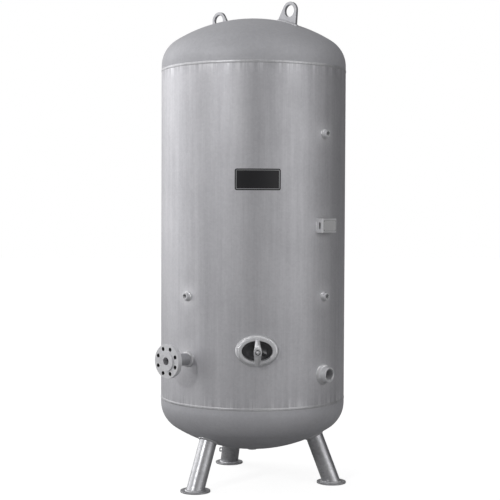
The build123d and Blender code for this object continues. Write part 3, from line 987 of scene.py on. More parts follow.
def soften(piece: bpy.types.Object, width: float, segments: int = 2) -> None:
    """Rounds a piece's edges and keeps its flat faces flat."""
    bevel = piece.modifiers.new("edges", "BEVEL")
    bevel.width = width
    bevel.segments = segments
    bevel.limit_method = "ANGLE"
    bevel.angle_limit = radians(35)
    level_faces(piece)


def level_faces(piece: bpy.types.Object) -> None:
    """Lets a piece's large faces set the normals beside them."""
    weighting = piece.modifiers.new("flats", "WEIGHTED_NORMAL")
    weighting.keep_sharp = True


def paint_shade_on_faces(piece: bpy.types.Object, shaded: Callable[[bpy.types.MeshPolygon], bool]) -> None:
    """Paints shade on the faces that a test picks out, using the near-black painted-shade material of the
    bores.
    """
    piece.data.materials.append(PAINTED_BORE_SHADE.material())
    for polygon in piece.data.polygons:
        if shaded(polygon):
            polygon.material_index = 1


def paint_shade_in_bores(
    piece: bpy.types.Object, place: Matrix, bores: Sequence[tuple[float, float, float]]
) -> None:
    """Paints shade on the walls of a piece's bores, using a near-black material of their own.

    Args:
        piece: The piece, dressed in its first material.
        place: Frame with z along the bores.
        bores: Middle (x, y) and radius of each bore in that frame.
    """
    into = place.inverted()
    slack = 0.2 * MM

    def on_wall(polygon: bpy.types.MeshPolygon) -> bool:
        """Whether all of a face lies within one bore."""
        corners = [into @ piece.data.vertices[index].co for index in polygon.vertices]
        return any(
            all(hypot(corner.x - x, corner.y - y) < radius + slack for corner in corners)
            for x, y, radius in bores
        )

    paint_shade_on_faces(piece, on_wall)


def present(piece: bpy.types.Object, finish: Finish, body: Body, *nodes: str) -> None:
    """Dresses a finished piece and puts it in the place of CAD nodes.

    Args:
        piece: The piece, at the origin.
        finish: Its material.
        body: The body that it moves with.
        nodes: The CAD nodes that it stands for.
    """
    piece.data.materials.clear()
    piece.data.materials.append(finish.material())
    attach(piece, body.value)
    if nodes:
        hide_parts(*nodes)
    log.info("%s: %d faces, on %s", piece.name, len(piece.data.polygons), body.value)


def lay_weld(
    weld: FilletWeld, node: str, length: float, corner: Callable[[float], Corner], seed: float
) -> None:
    """Lays a weld that closes on itself, in the place of a CAD node.

    Args:
        weld: Its size and look.
        node: The CAD node that the bead stands for.
        length: Length of the bead.
        corner: Gives the corner that the bead fills at a share of the way round.
        seed: Number that sets this bead's own unevenness.
    """
    bead = object_from(weld.ring(length, corner, seed), f"{node}_bead", BEAD_SHARPNESS)
    present(bead, BEAD, Body.TANK, node)


def lay_round_weld(
    weld: FilletWeld, node: str, surface: Surface, radius: float, wall: Vector, seed: float,
    length: float | None = None,
) -> None:
    """Lays the weld between a round fitting and what it stands on.

    Args:
        weld: Its size and look.
        node: The CAD node that the bead stands for.
        surface: Gives the host's point at an angle round the fitting and a distance from its axis.
        radius: Radius of the fitting.
        wall: Direction along the fitting's wall, away from the host.
        seed: Number that sets this bead's own unevenness.
        length: Length of the bead, where it isn't that of a level circle.
    """

    def corner(turn: float) -> Corner:
        """Corner at a share of the way round."""
        root = surface(TURN * turn, radius)
        return Corner(root, (surface(TURN * turn, radius + weld.leg) - root).normalized(), wall)

    lay_weld(weld, node, length or TURN * (radius + weld.leg / 2), corner, seed)


# Vessel


@dataclass(frozen=True)
class Opening:
    """Round or oval hole in the shell."""

    branch: Branch
    half_width: float
    half_height: float


@dataclass
class Vessel:
    """Rolled shell and two dished heads, joined by two girth welds and one down the back."""

    form: VesselForm
    openings: list[Opening]
    drain_hole: float
    # Branch and reach of each painted highlight round a fitting.
    highlight_halos: list[tuple[Branch, float]]
    wall: float = 5 * MM
    segments: int = 256
    row_height: float = 20 * MM
    seam_width: float = 14 * MM
    seam_height: float = 2 * MM
    seam_root: float = 1.5 * MM
    seam_drift: float = 0.7 * MM
    long_seam_azimuth: float = 165.0

    def build(self) -> None:
        """Builds and presents every piece of the vessel."""
        self.build_shell()
        for end in End:
            self.build_head(end)
        self.build_girth_weld("top_girth_weld", self.form.top_seam)
        self.build_girth_weld("bottom_girth_weld", self.form.bottom_seam)
        self.build_long_weld()

    def build_shell(self) -> None:
        """Raises the cylinder in rows, opens its holes and gives it its wall."""
        form = self.form
        bm = bmesh.new()
        bmesh.ops.create_circle(bm, cap_ends=False, segments=self.segments, radius=form.radius)
        bmesh.ops.translate(bm, vec=(0, 0, form.bottom_seam), verts=bm.verts)
        rows = round((form.top_seam - form.bottom_seam) / self.row_height)
        rise = (form.top_seam - form.bottom_seam) / rows
        rim = bm.edges[:]
        for _ in range(rows):
            grown = bmesh.ops.extrude_edge_only(bm, edges=rim)["geom"]
            rim = [item for item in grown if isinstance(item, bmesh.types.BMEdge)]
            bmesh.ops.translate(bm, vec=(0, 0, rise), verts=verts_of(grown))
        for opening in self.openings:
            self.open_hole(bm, opening)
        thicken(bm, self.wall)
        shell = object_from(bm, "rolled_shell")
        self.true_normals(shell)
        # Painted highlight round the fittings, carried in the shell's finish.
        highlight_halos = tuple((*branch.at(0, 0, form.radius), reach) for branch, reach in self.highlight_halos)
        seams = (form.bottom_seam, form.top_seam)
        finish = replace(SHEET, name="galvanised_rolled_shell", seam_levels=seams, highlight_halos=highlight_halos)
        present(shell, finish, Body.TANK, "shell")

    def open_hole(self, bm: Mesh, opening: Opening) -> None:
        """Clears a window in the cylinder and draws its edge in to the hole's outline."""
        form, branch = self.form, opening.branch
        margin = 1.3 * self.row_height
        out, side = outward(branch.azimuth), sideways(branch.azimuth)

        def inside(point: Vector, reach: float) -> bool:
            """Whether a point lies in the window."""
            right, up = point.dot(side), point.z - branch.level
            near = abs(right) < opening.half_width + reach and abs(up) < opening.half_height + reach
            return near and point.dot(out) > 0

        cleared = [face for face in bm.faces if inside(face.calc_center_median(), margin)]
        bmesh.ops.delete(bm, geom=cleared, context="FACES")
        wider = margin + self.row_height
        rims = [edge for edge in bm.edges if edge.is_boundary]
        brim = [edge for edge in rims if inside((edge.verts[0].co + edge.verts[1].co) / 2, wider)]
        drawn = bmesh.ops.extrude_edge_only(bm, edges=brim)["geom"]
        for vert in verts_of(drawn):
            right, up = vert.co.dot(side), vert.co.z - branch.level
            stretch = 1 / hypot(right / opening.half_width, up / opening.half_height)
            right, up = right * stretch, up * stretch
            vert.co = branch.at(right, up, form.shell_reach(right))

    def true_normals(self, shell: bpy.types.Object) -> None:
        """Gives the outer and inner skins of the shell the normals of a true cylinder."""
        mesh = shell.data
        normals = []
        for polygon in mesh.polygons:
            middle = polygon.center
            radial = Vector((middle.x, middle.y, 0)).normalized()
            facing = polygon.normal.dot(radial)
            for index in polygon.vertices:
                point = mesh.vertices[index].co
                if abs(facing) > 0.99:
                    normals.append(Vector((point.x, point.y, 0)).normalized() * copysign(1, facing))
                else:
                    normals.append(Vector((0, 0, 0)))
        mesh.normals_split_custom_set(normals)

    def build_head(self, end: End) -> None:
        """Spins a head with its wall, from its pole to its seam."""
        form = self.form
        seam = form.top_seam if end is End.TOP else form.bottom_seam
        start = 0.0 if end is End.TOP else self.drain_hole
        outer = form.head_outline(end, 0, 26, start) + [(form.radius, seam)]
        inner = form.head_outline(end, -self.wall, 12, start) + [(form.radius - self.wall, seam)]
        bm = spun(outer + inner[::-1], self.segments, closed=end is End.BOTTOM)
        name = "top_head" if end is End.TOP else "bottom_head"
        present(object_from(bm, f"dished_{name}"), HEAD, Body.TANK, name)

    def build_girth_weld(self, name: str, level: float) -> None:
        """Lays a machine-made seam whose width and height wander a little."""
        form = self.form

        def place(turn: float, share: float) -> Vector:
            """Point of the bead's skin."""
            azimuth = 360 * (turn % 1.0)
            way = outward(azimuth)
            wander = noise.noise(way * 9 + UP * level * 7)
            finer = noise.noise(way * 60 + UP * level * 3)
            width = self.seam_width / 2 * (1 + 0.10 * wander + 0.05 * finer)
            height = self.seam_height * (0.72 + 0.16 * wander + 0.12 * finer)
            angle = TURN * share
            stand = (height if sin(angle) > 0 else self.seam_root) * sin(angle)
            up = width * cos(angle) + self.seam_drift * wander
            return way * (form.radius + stand) + UP * (level + up)

        bead = object_from(swept(720, 14, place), f"{name}_bead", BEAD_SHARPNESS)
        present(bead, SEAM, Body.TANK, name)

    def build_long_weld(self) -> None:
        """Lays the seam down the back of the shell."""
        form = self.form
        low, high = form.bottom_seam + self.seam_width / 2, form.top_seam - self.seam_width / 2

        def place(share: float, turn: float) -> Vector:
            """Point of the bead's skin."""
            level = low + (high - low) * share
            wander = noise.noise(Vector((3.1, 0.4, level * 14)))
            finer = noise.noise(Vector((1.7, 5.2, level * 90)))
            angle = TURN * turn
            right = self.seam_width / 2 * cos(angle) * (1 + 0.08 * wander + 0.05 * finer)
            stand = self.seam_height * 0.7 if sin(angle) > 0 else self.seam_root
            out = form.shell_reach(right) + stand * sin(angle) * (0.9 + 0.1 * finer)
            return Branch(self.long_seam_azimuth, level).at(right, 0, out)

        bm = swept(400, 12, place)
        close_ends(bm)
        bead = object_from(bm, "longitudinal_weld_bead", BEAD_SHARPNESS)
        present(bead, SEAM, Body.TANK, "longitudinal_weld")


# Legs


@dataclass
class Leg:
    """Splayed tube on a round foot plate, welded to the bottom head."""

    name: str
    azimuth: float
    form: VesselForm
    radius: float = 44.45 * MM
    wall: float = 4 * MM
    lean: float = 21.3
    foot_inset: float = 57 * MM
    plate_radius: float = 75 * MM
    plate_thickness: float = 8 * MM
    anchor_offset: float = 62 * MM
    anchor_radius: float = 7 * MM
    weld_stretch: float = 1.15
    edge: float = 0.9 * MM
    head_weld: FilletWeld = FilletWeld(7 * MM, 8 * MM)
    foot_weld: FilletWeld = FilletWeld(6 * MM, 6 * MM)

    def direction(self) -> Vector:
        """Unit vector up the leg."""
        lean = radians(self.lean)
        return UP * cos(lean) - outward(self.azimuth) * sin(lean)

    def foot(self) -> Vector:
        """Middle of the leg where it stands on its plate."""
        return outward(self.azimuth) * (self.form.radius - self.foot_inset) + UP * self.plate_thickness

    def line(self, angle: float, distance: float) -> Vector:
        """Point beside the foot, in the plane square to the leg, at an angle and distance from its axis."""
        side = sideways(self.azimuth)
        front = self.direction().cross(side)
        return self.foot() + side * (distance * cos(angle)) + front * (distance * sin(angle))

    def on_plate(self, angle: float, distance: float) -> Vector:
        """Point on the foot plate straight below or above a line of the tube."""
        start, way = self.line(angle, distance), self.direction()
        return start + way * ((self.plate_thickness - start.z) / way.z)

    def on_head(self, angle: float, distance: float) -> Vector:
        """Point where a line of the tube meets the bottom head, found by halving."""
        start, way = self.line(angle, distance), self.direction()
        low, high = 0.0, (self.form.bottom_seam - start.z) / way.z
        for _ in range(40):
            middle = (low + high) / 2
            point = start + way * middle
            if point.z < self.form.head_level(point, End.BOTTOM):
                low = middle
            else:
                high = middle
        return start + way * low

    def build(self) -> None:
        """Builds and presents the leg's pieces."""
        self.build_tube()
        self.build_plate()
        length = TURN * (self.radius + self.head_weld.leg / 2) * self.weld_stretch
        welds = {
            "leg_weld": (self.head_weld, self.on_head, -self.direction()),
            "foot_weld": (self.foot_weld, self.on_plate, self.direction()),
        }
        for kind, (weld, surface, wall) in welds.items():
            node = f"{kind}_{self.name}"
            lay_round_weld(weld, node, surface, self.radius, wall, self.azimuth / 100, length)

    def build_tube(self) -> None:
        """Makes the tube and shapes its ends to the plate and the head."""
        bm = bmesh.new()
        bmesh.ops.create_cone(
            bm, cap_ends=False, segments=96, radius1=self.radius, radius2=self.radius, depth=2.0,
        )
        for vert in bm.verts:
            surface = self.on_head if vert.co.z > 0 else self.on_plate
            vert.co = surface(atan2(vert.co.y, vert.co.x), self.radius)
        bmesh.ops.recalc_face_normals(bm, faces=bm.faces)
        bmesh.ops.solidify(bm, geom=bm.faces[:], thickness=self.wall)
        present(object_from(bm, f"leg_tube_{self.name}"), LEG, Body.TANK, f"leg_{self.name}")

    def build_plate(self) -> None:
        """Makes the foot plate with its anchor hole outside the leg."""
        hole = circle(self.anchor_radius, 32, (0.0, self.anchor_offset))
        bm = plate(circle(self.plate_radius, 112), [hole], self.plate_thickness)
        middle = self.foot() - UP * self.plate_thickness
        place = axes_matrix(-sideways(self.azimuth), outward(self.azimuth), UP, middle)
        piece = object_from(moved(bm, place), f"foot_disc_{self.name}")
        soften(piece, self.edge)
        present(piece, LEG, Body.TANK, f"foot_plate_{self.name}")


@dataclass
class EarthingLug:
    """Drilled tab that stands out from the side of a leg."""

    leg: Leg
    height: float = 82 * MM
    length: float = 22 * MM
    width: float = 24 * MM
    thickness: float = 6 * MM
    hole_radius: float = 5.5 * MM
    corner: float = 6 * MM
    edge: float = 0.7 * MM

    def build(self) -> None:
        """Builds and presents the tab."""
        azimuth = self.leg.azimuth
        way = self.leg.direction()
        middle = self.leg.foot() + way * ((self.height - self.leg.plate_thickness) / way.z)
        tip = self.leg.radius + self.length
        root = self.leg.radius - 2 * MM
        half = self.width / 2
        outline = rectangle((root, tip), (-half, half), (0, self.corner, self.corner, 0), 5)
        hole = circle(self.hole_radius, 28, (tip - self.length / 2, 0.0))
        bm = plate(outline, [hole], self.thickness)
        bmesh.ops.translate(bm, vec=(0, 0, -self.thickness / 2), verts=bm.verts)
        place = axes_matrix(sideways(azimuth), UP, outward(azimuth), middle)
        piece = object_from(moved(bm, place), "earthing_tab")
        soften(piece, self.edge)
        present(piece, FORGING, Body.TANK, "earthing_lug")


# Lifting lugs


@dataclass
class LiftingLug:
    """Flat lifting eye that stands square on the top head."""

    name: str
    azimuth: float
    form: VesselForm
    circle_radius: float = 229 * MM
    thickness: float = 15 * MM
    eye_radius: float = 46 * MM
    hole_radius: float = 30 * MM
    eye_rise: float = 59 * MM
    base_width: float = 118 * MM
    shoulder: float = 7.5 * MM
    sunk: float = 7 * MM
    weld_corner: float = 3 * MM
    edge: float = 1.6 * MM
    weld: FilletWeld = FilletWeld(7 * MM, 7 * MM)

    def matrix(self) -> Matrix:
        """Frame with x down the head, y square to the head and z across the plate."""
        slope = asin(self.circle_radius / self.form.crown_radius)
        centre = self.form.knuckle_line(End.TOP) + self.form.head_depth - self.form.crown_radius
        down = outward(self.azimuth) * cos(slope) - UP * sin(slope)
        square = outward(self.azimuth) * sin(slope) + UP * cos(slope)
        base = UP * centre + square * self.form.crown_radius
        return axes_matrix(down, square, down.cross(square), base)

    def outline(self) -> Outline:
        """Side view: an eye whose tangents run down to the base."""
        half = self.base_width / 2
        reach = hypot(half, self.eye_rise - self.shoulder)
        toward_base = atan2(self.shoulder - self.eye_rise, half)
        touch = toward_base + acos(self.eye_radius / reach)
        steps = 40
        points = [(-half, -self.sunk), (half, -self.sunk), (half, self.shoulder)]
        for step in range(steps + 1):
            angle = touch + (pi - 2 * touch) * step / steps
            up = self.eye_rise + self.eye_radius * sin(angle)
            points.append((self.eye_radius * cos(angle), up))
        return points + [(-half, self.shoulder)]

    def build(self) -> None:
        """Builds and presents the lug and its weld."""
        frame_of_lug = self.matrix()
        bm = plate(self.outline(), [circle(self.hole_radius, 56, (0.0, self.eye_rise))], self.thickness)
        bmesh.ops.translate(bm, vec=(0, 0, -self.thickness / 2), verts=bm.verts)
        piece = object_from(moved(bm, frame_of_lug), f"lifting_eye_{self.name}")
        soften(piece, self.edge, 3)
        present(piece, LUG, Body.TANK, f"lifting_lug_{self.name}")
        self.build_weld(frame_of_lug)

    def build_weld(self, frame_of_lug: Matrix) -> None:
        """Lays the weld round the lug's base."""
        half_long, half_thick = self.base_width / 2, self.thickness / 2
        path = round_corners([
            (half_long, -half_thick, self.weld_corner), (half_long, half_thick, self.weld_corner),
            (-half_long, half_thick, self.weld_corner), (-half_long, -half_thick, self.weld_corner),
        ], 6)
        lengths = [dist(a, b) for a, b in zip(path, path[1:] + path[:1])]
        total = sum(lengths)

        def on_head(x: float, z: float) -> Vector:
            """Point of the head at an offset from the lug's middle, straight along the lug's height."""
            drop = self.form.crown_radius - sqrt(self.form.crown_radius**2 - x * x - z * z)
            return frame_of_lug @ Vector((x, -drop, z))

        def corner(turn: float) -> Corner:
            """Corner at a share of the way round."""
            distance, index = turn * total, 0
            while index < len(path) - 1 and distance > lengths[index]:
                distance -= lengths[index]
                index += 1
            first, second = Vector(path[index]), Vector(path[(index + 1) % len(path)])
            point = first.lerp(second, min(1.0, distance / max(lengths[index], 1e-9)))
            inner = Vector((max(-half_long + half_thick, min(half_long - half_thick, point.x)), 0))
            away = (point - inner).normalized() * self.weld.leg
            root = on_head(point.x, point.y)
            host = on_head(point.x + away.x, point.y + away.y) - root
            return Corner(root, host.normalized(), frame_of_lug.to_3x3() @ Vector((0, 1, 0)))

        lay_weld(self.weld, f"lug_weld_{self.name}", total, corner, self.azimuth / 50)


# Flanged inlet and threaded sockets


def saddle(branch: Branch, form: VesselForm) -> Surface:
    """Surface of the shell round a branch, by angle and distance from the branch's axis."""

    def surface(angle: float, distance: float) -> Vector:
        """Point of the shell."""
        right, up = polar(distance, angle)
        return branch.at(right, up, form.shell_reach(right))

    return surface


def seated(bm: Mesh, branch: Branch, form: VesselForm) -> Mesh:
    """Shapes the root of a fitting to the shell and takes the fitting to its place.

    Args:
        bm: The fitting, with z along the branch and its root at z = 0.
        branch: Where it stands.
        form: The vessel, which the root is let into a little.

    Returns:
        The fitting in its place.
    """
    for vert in bm.verts:
        if abs(vert.co.z) < MERGE:
            vert.co.z = form.shell_reach(vert.co.x) - form.radius - ROOT_DEPTH
    return moved(bm, branch.matrix(form.radius))


@dataclass
class FlangedInlet:
    """Thick-walled stub pipe with a raised-face flange."""

    branch: Branch
    form: VesselForm
    pipe_radius: float = 30.15 * MM
    bore: float = 19.1 * MM
    reach: float = 148 * MM
    flange_radius: float = 82.5 * MM
    flange_thickness: float = 24 * MM
    face_radius: float = 47 * MM
    face_height: float = 6 * MM
    bolt_circle: float = 63.5 * MM
    bolt_hole: float = 9.5 * MM
    bolt_count: int = 8
    core_radius: float = 44 * MM
    groove_pitch: float = 0.9 * MM
    groove_depth: float = 0.18 * MM
    chamfer: float = 1.2 * MM
    edge: float = 0.8 * MM
    shell_weld: FilletWeld = FilletWeld(10 * MM, 9 * MM, ripple_pitch=5.5 * MM)
    flange_weld: FilletWeld = FilletWeld(7 * MM, 7 * MM)

    @property
    def joint(self) -> float:
        """Distance from the shell to the back of the flange."""
        return self.reach - self.face_height - self.flange_thickness

    def build(self) -> None:
        """Builds and presents the inlet's pieces."""
        wall_section = [
            (self.bore, 0), (self.pipe_radius, 0), (self.pipe_radius, self.joint), (self.bore, self.joint),
        ]
        pipe = spun(wall_section, 96)
        pipe = object_from(seated(pipe, self.branch, self.form), "inlet_stub_pipe")
        present(pipe, PIPE, Body.TANK, "inlet_pipe")
        self.build_flange()
        wall = outward(self.branch.azimuth)
        shell = saddle(self.branch, self.form)
        length = TURN * (self.pipe_radius + self.shell_weld.leg / 2)
        lay_round_weld(self.shell_weld, "inlet_shell_weld", shell, self.pipe_radius, wall, 0.3, length)

        def back_face(angle: float, distance: float) -> Vector:
            """Point of the flange's back face."""
            right, up = polar(distance, angle)
            return self.branch.at(right, up, self.form.radius + self.joint)

        lay_round_weld(self.flange_weld, "inlet_flange_weld", back_face, self.pipe_radius, -wall, 0.8, length)

    def bolt_middles(self) -> Outline:
        """Middles of the bolt holes, seen along the branch."""
        angles = [TURN * (index + 0.5) / self.bolt_count for index in range(self.bolt_count)]
        return [polar(self.bolt_circle, angle) for angle in angles]

    def build_flange(self) -> None:
        """Makes the drilled plate and turns its core with the grooved raised face."""
        holes = [circle(self.bolt_hole, 36, middle) for middle in self.bolt_middles()]
        holes.insert(0, circle(self.core_radius, 96))
        disc = plate(circle(self.flange_radius, 144), holes, self.flange_thickness)
        top = self.flange_thickness + self.face_height
        chamfer = self.chamfer
        profile = [
            (self.bore, 0), (self.core_radius, 0), (self.core_radius, self.flange_thickness),
            (self.face_radius, self.flange_thickness), (self.face_radius, top - chamfer / 2),
            (self.face_radius - chamfer / 2, top),
        ]
        groove = self.face_radius - 3 * MM
        while groove > self.bore + 5 * MM:
            profile += [(groove, top), (groove - self.groove_pitch / 2, top - self.groove_depth)]
            groove -= self.groove_pitch
        profile += [(groove, top), (self.bore + chamfer, top), (self.bore, top - chamfer)]
        core = spun(profile, 96)
        place = self.branch.matrix(self.form.radius + self.joint)
        piece = object_from(moved(joined(disc, core), place), "inlet_drilled_flange", 20)
        soften(piece, self.edge)
        present(piece, FORGING, Body.TANK, "inlet_flange")
        # Painted shade on the walls of the bolt holes.
        bores = [(*middle, self.bolt_hole) for middle in self.bolt_middles()]
        paint_shade_in_bores(piece, place, bores)


@dataclass
class ThreadedSocket:
    """Round boss with an inside thread, welded to the vessel."""

    name: str
    branch: Branch
    form: VesselForm
    radius: float
    bore: float
    reach: float
    pitch: float
    weld: FilletWeld
    chamfer: float = 1.5 * MM
    # Bores narrower than this get painted shade on their walls.
    painted_shade_bore_limit: float = 20 * MM

    @property
    def thread_depth(self) -> float:
        """Height of the thread."""
        return 0.64 * self.pitch

    def body(self, length: float) -> list[Mesh]:
        """The boss and its thread, with z along the socket and its root at z = 0."""
        wall = self.bore + self.thread_depth
        mouth = wall + 0.6 * MM
        profile = [
            (wall, 0), (self.radius, 0), (self.radius, length - self.chamfer),
            (self.radius - self.chamfer, length), (mouth, length), (wall, length - self.thread_depth),
        ]
        screw = thread(wall, self.bore, self.pitch, length - self.thread_depth, Matrix.Identity(4))
        return [spun(profile, 96), screw]

    def build(self) -> None:
        """Builds and presents the socket and its weld."""
        boss, screw = self.body(self.reach)
        boss = seated(boss, self.branch, self.form)
        screw = moved(screw, self.branch.matrix(self.form.radius))
        shell = saddle(self.branch, self.form)
        wall = outward(self.branch.azimuth)
        self.fit(joined(boss, screw), self.branch.matrix(), shell, wall, self.branch.level)

    def fit(
        self, bm: Mesh, place: Matrix, surface: Surface, wall: Vector, seed: float
    ) -> None:
        """Presents the socket and lays its weld.

        Args:
            bm: The socket in its place.
            place: Frame with z along the socket.
            surface: The vessel round the socket, by angle and distance from the socket's axis.
            wall: Direction along the socket, away from the vessel.
            seed: Number that sets the weld's own unevenness.
        """
        piece = object_from(bm, f"{self.name}_threaded_socket")
        level_faces(piece)
        present(piece, FORGING, Body.TANK, f"{self.name}_socket")
        # Painted shade on the walls of small bores.
        if self.bore < self.painted_shade_bore_limit:
            paint_shade_in_bores(piece, place, [(0.0, 0.0, self.bore + self.thread_depth)])
        lay_round_weld(self.weld, f"{self.name}_weld", surface, self.radius, wall, seed)


@dataclass
class DrainSocket(ThreadedSocket):
    """Threaded socket that points down from the lowest point of the vessel."""

    def build(self) -> None:
        """Builds and presents the socket and its weld."""
        pole = self.form.knuckle_line(End.BOTTOM) - self.form.head_depth
        sunk = 3 * MM
        place = axes_matrix(Vector((1, 0, 0)), Vector((0, -1, 0)), -UP, UP * (pole + sunk))

        def surface(angle: float, distance: float) -> Vector:
            """Point of the bottom head round the drain."""
            point = Vector((*polar(distance, angle), 0))
            return point + UP * self.form.head_level(point, End.BOTTOM)

        self.fit(moved(joined(*self.body(self.reach + sunk)), place), place, surface, -UP, 0.5)


# Handhole


@dataclass
class Handhole:
    """Oval ring, its cover, and the bow, stud and nut that pull the cover against the ring from outside."""

    branch: Branch
    form: VesselForm
    half_width: float = 75 * MM
    half_height: float = 50 * MM
    wall_side: float = 17.5 * MM
    wall_end: float = 15 * MM
    reach: float = 22 * MM
    depth: float = 47 * MM
    edge: float = 3.2 * MM
    lip: float = 12 * MM
    cover_thickness: float = 8 * MM
    gasket: float = 3 * MM
    gasket_margin: float = 1.5 * MM
    gasket_rounding: float = 0.4 * MM
    dish_margin: float = 22 * MM
    dish_depth: float = 14 * MM
    dish_wall: float = 6 * MM
    dish_slope: float = 25 * MM
    dish_slope_high: float = 20 * MM
    boss_radius: float = 15 * MM
    boss_height: float = 6 * MM
    stud_radius: float = 8 * MM
    stud_pitch: float = 2 * MM
    stud_tail: float = 8 * MM
    bow_rise: float = 46 * MM
    bow_thickness: float = 17 * MM
    bow_half_width: float = 19 * MM
    upper_toe: float = 61 * MM
    lower_toe: float = 75 * MM
    upper_toe_radius: float = 10 * MM
    lower_toe_radius: float = 13.5 * MM
    toe_height: float = 13 * MM
    bow_spring: float = 48 * MM
    bow_bulge: float = 7 * MM
    seat: float = 16 * MM
    ridge_drop: float = 9 * MM
    ridge_run: float = 10 * MM
    limb_rounding: float = 2.5 * MM
    crest_rounding: float = 3 * MM
    washer_radius: float = 15 * MM
    washer_thickness: float = 3 * MM
    nut_half_flats: float = 12 * MM
    nut_thickness: float = 13 * MM
    weld: FilletWeld = FilletWeld(13 * MM, 9 * MM, ripple_pitch=5.5 * MM, roundness=0.65)

    @property
    def face(self) -> float:
        """Distance of the ring's outer face from the vessel's axis."""
        return self.form.radius + self.reach

    @property
    def cover_face(self) -> float:
        """Distance of the cover's outer face from the vessel's axis."""
        return self.face - self.depth - self.gasket

    def oval(self, turn: float, across: float, high: float, out: float) -> Vector:
        """Point at a share of the way round an oval of given half width and half height."""
        angle = TURN * turn
        return self.branch.at(across * cos(angle), high * sin(angle), out)

    def build(self) -> None:
        """Builds and presents the handhole's pieces."""
        self.build_ring()
        self.build_gasket()
        self.build_cover()
        self.build_stud()
        self.build_bow()
        self.build_washer()
        self.build_nut()

    def build_ring(self) -> None:
        """Makes the oval ring with rounded edges, and its weld."""
        mean_wall = (self.wall_side + self.wall_end) / 2
        small = 0.8 * MM
        section = rectangle((0, mean_wall), (-self.depth, 0), (small, small, self.edge, self.edge), 6)

        def place(turn: float, step: float, out: float) -> Vector:
            """Point of the ring."""
            share = step / mean_wall
            across = self.half_width + share * self.wall_side
            high = self.half_height + share * self.wall_end
            return self.oval(turn, across, high, self.face + out)

        ring = object_from(swept_section(144, lambda _: section, place), "handhole_oval_ring")
        level_faces(ring)
        present(ring, FORGING, Body.TANK, "handhole_ring")
        outer_width = self.half_width + self.wall_side
        outer_height = self.half_height + self.wall_end

        def corner(turn: float) -> Corner:
            """Corner between the ring and the shell."""
            angle = TURN * turn
            right, up = outer_width * cos(angle), outer_height * sin(angle)
            away = Vector((cos(angle) / outer_width, sin(angle) / outer_height)).normalized()
            far = right + away.x * self.weld.leg
            root = self.branch.at(right, up, self.form.shell_reach(right))
            host = self.branch.at(far, up + away.y * self.weld.leg, self.form.shell_reach(far)) - root
            return Corner(root, host.normalized(), outward(self.branch.azimuth))

        length = pi * (outer_width + outer_height + self.weld.leg)
        lay_weld(self.weld, "handhole_weld", length, corner, 2.4)

    def build_gasket(self) -> None:
        """Makes the flat gasket on the cover's lip."""
        inner, outer = self.gasket_margin, self.lip - self.gasket_margin
        section = rectangle((inner, outer), (0, self.gasket), [self.gasket_rounding] * 4, 2)

        def place(turn: float, step: float, out: float) -> Vector:
            """Point of the gasket."""
            return self.oval(turn, self.half_width + step, self.half_height + step, self.cover_face + out)

        gasket = object_from(swept_section(128, lambda _: section, place), "handhole_oval_gasket")
        present(gasket, RUBBER, Body.COVER, "handhole_gasket")

    def build_cover(self) -> None:
        """Presses the cover: a flat lip round a dish, with a boss for the stud."""
        dish_width = self.half_width - self.dish_margin
        dish_height = self.half_height - self.dish_margin / 2
        floor_width = dish_width - self.dish_slope
        back = self.dish_depth + self.dish_wall
        grow = self.dish_wall
        corners = [
            (0, self.boss_height - self.dish_depth, 0),
            (self.boss_radius, self.boss_height - self.dish_depth, 1.2 * MM),
            (self.boss_radius + 1.5 * MM, -self.dish_depth, 2.5 * MM),
            (floor_width, -self.dish_depth, 26 * MM),
            (dish_width, 0, 5 * MM),
            (self.half_width + self.lip, 0, 1.5 * MM),
            (self.half_width + self.lip, -self.cover_thickness, 1.5 * MM),
            (dish_width + grow, -self.cover_thickness, 3 * MM),
            (floor_width + grow, -back, 6 * MM),
            (0, -back, 0),
        ]
        profile = round_corners(corners, 5, closed=False)
        stations = [
            (0.0, 0.0), (self.boss_radius + 1.5 * MM, self.boss_radius + 1.5 * MM),
            (floor_width, dish_height - self.dish_slope_high), (dish_width, dish_height),
            (self.half_width + self.lip, self.half_height + self.lip),
        ]

        def height_for(across: float) -> float:
            """Half height of the oval that has a given half width."""
            for (low, first), (high, second) in zip(stations, stations[1:]):
                if across <= high + 1e-9:
                    return first + (second - first) * (across - low) / (high - low)
            return stations[-1][1]

        last = len(profile) - 1

        def place(turn: float, share: float) -> Vector:
            """Point of the cover."""
            across, out = profile[round(share * last)]
            return self.oval(turn % 1.0, across, height_for(across), self.cover_face + out)

        cover = object_from(swept(128, last, place), "handhole_pressed_cover")
        # The cover's near-black colour is partly painted shade of the deep handhole.
        present(cover, COVER_PAINT_AND_SHADE, Body.COVER, "handhole_cover")

    def build_stud(self) -> None:
        """Turns the stud, with its thread from near the cover to its tail."""
        start = self.cover_face - self.dish_depth + self.boss_height
        end = self.face + self.bow_rise + self.washer_thickness + self.nut_thickness + self.stud_tail
        length = end - start
        root = self.stud_radius - 1.1 * MM
        chamfer = 1.5 * MM
        plain = 14 * MM
        profile = [
            (0, -1 * MM), (self.stud_radius, -1 * MM), (self.stud_radius, plain), (root, plain + MM),
            (root, length - chamfer), (root - chamfer / 2, length), (0, length),
        ]
        place = self.branch.matrix(start)
        core = spun(profile, 48, place, closed=False)
        ridge_place = self.branch.matrix(start + plain)
        ridge = thread(root, self.stud_radius, self.stud_pitch, length - plain, ridge_place, 36)
        stud = object_from(joined(core, ridge), "handhole_threaded_stud")
        present(stud, FASTENER, Body.COVER, "handhole_stud")

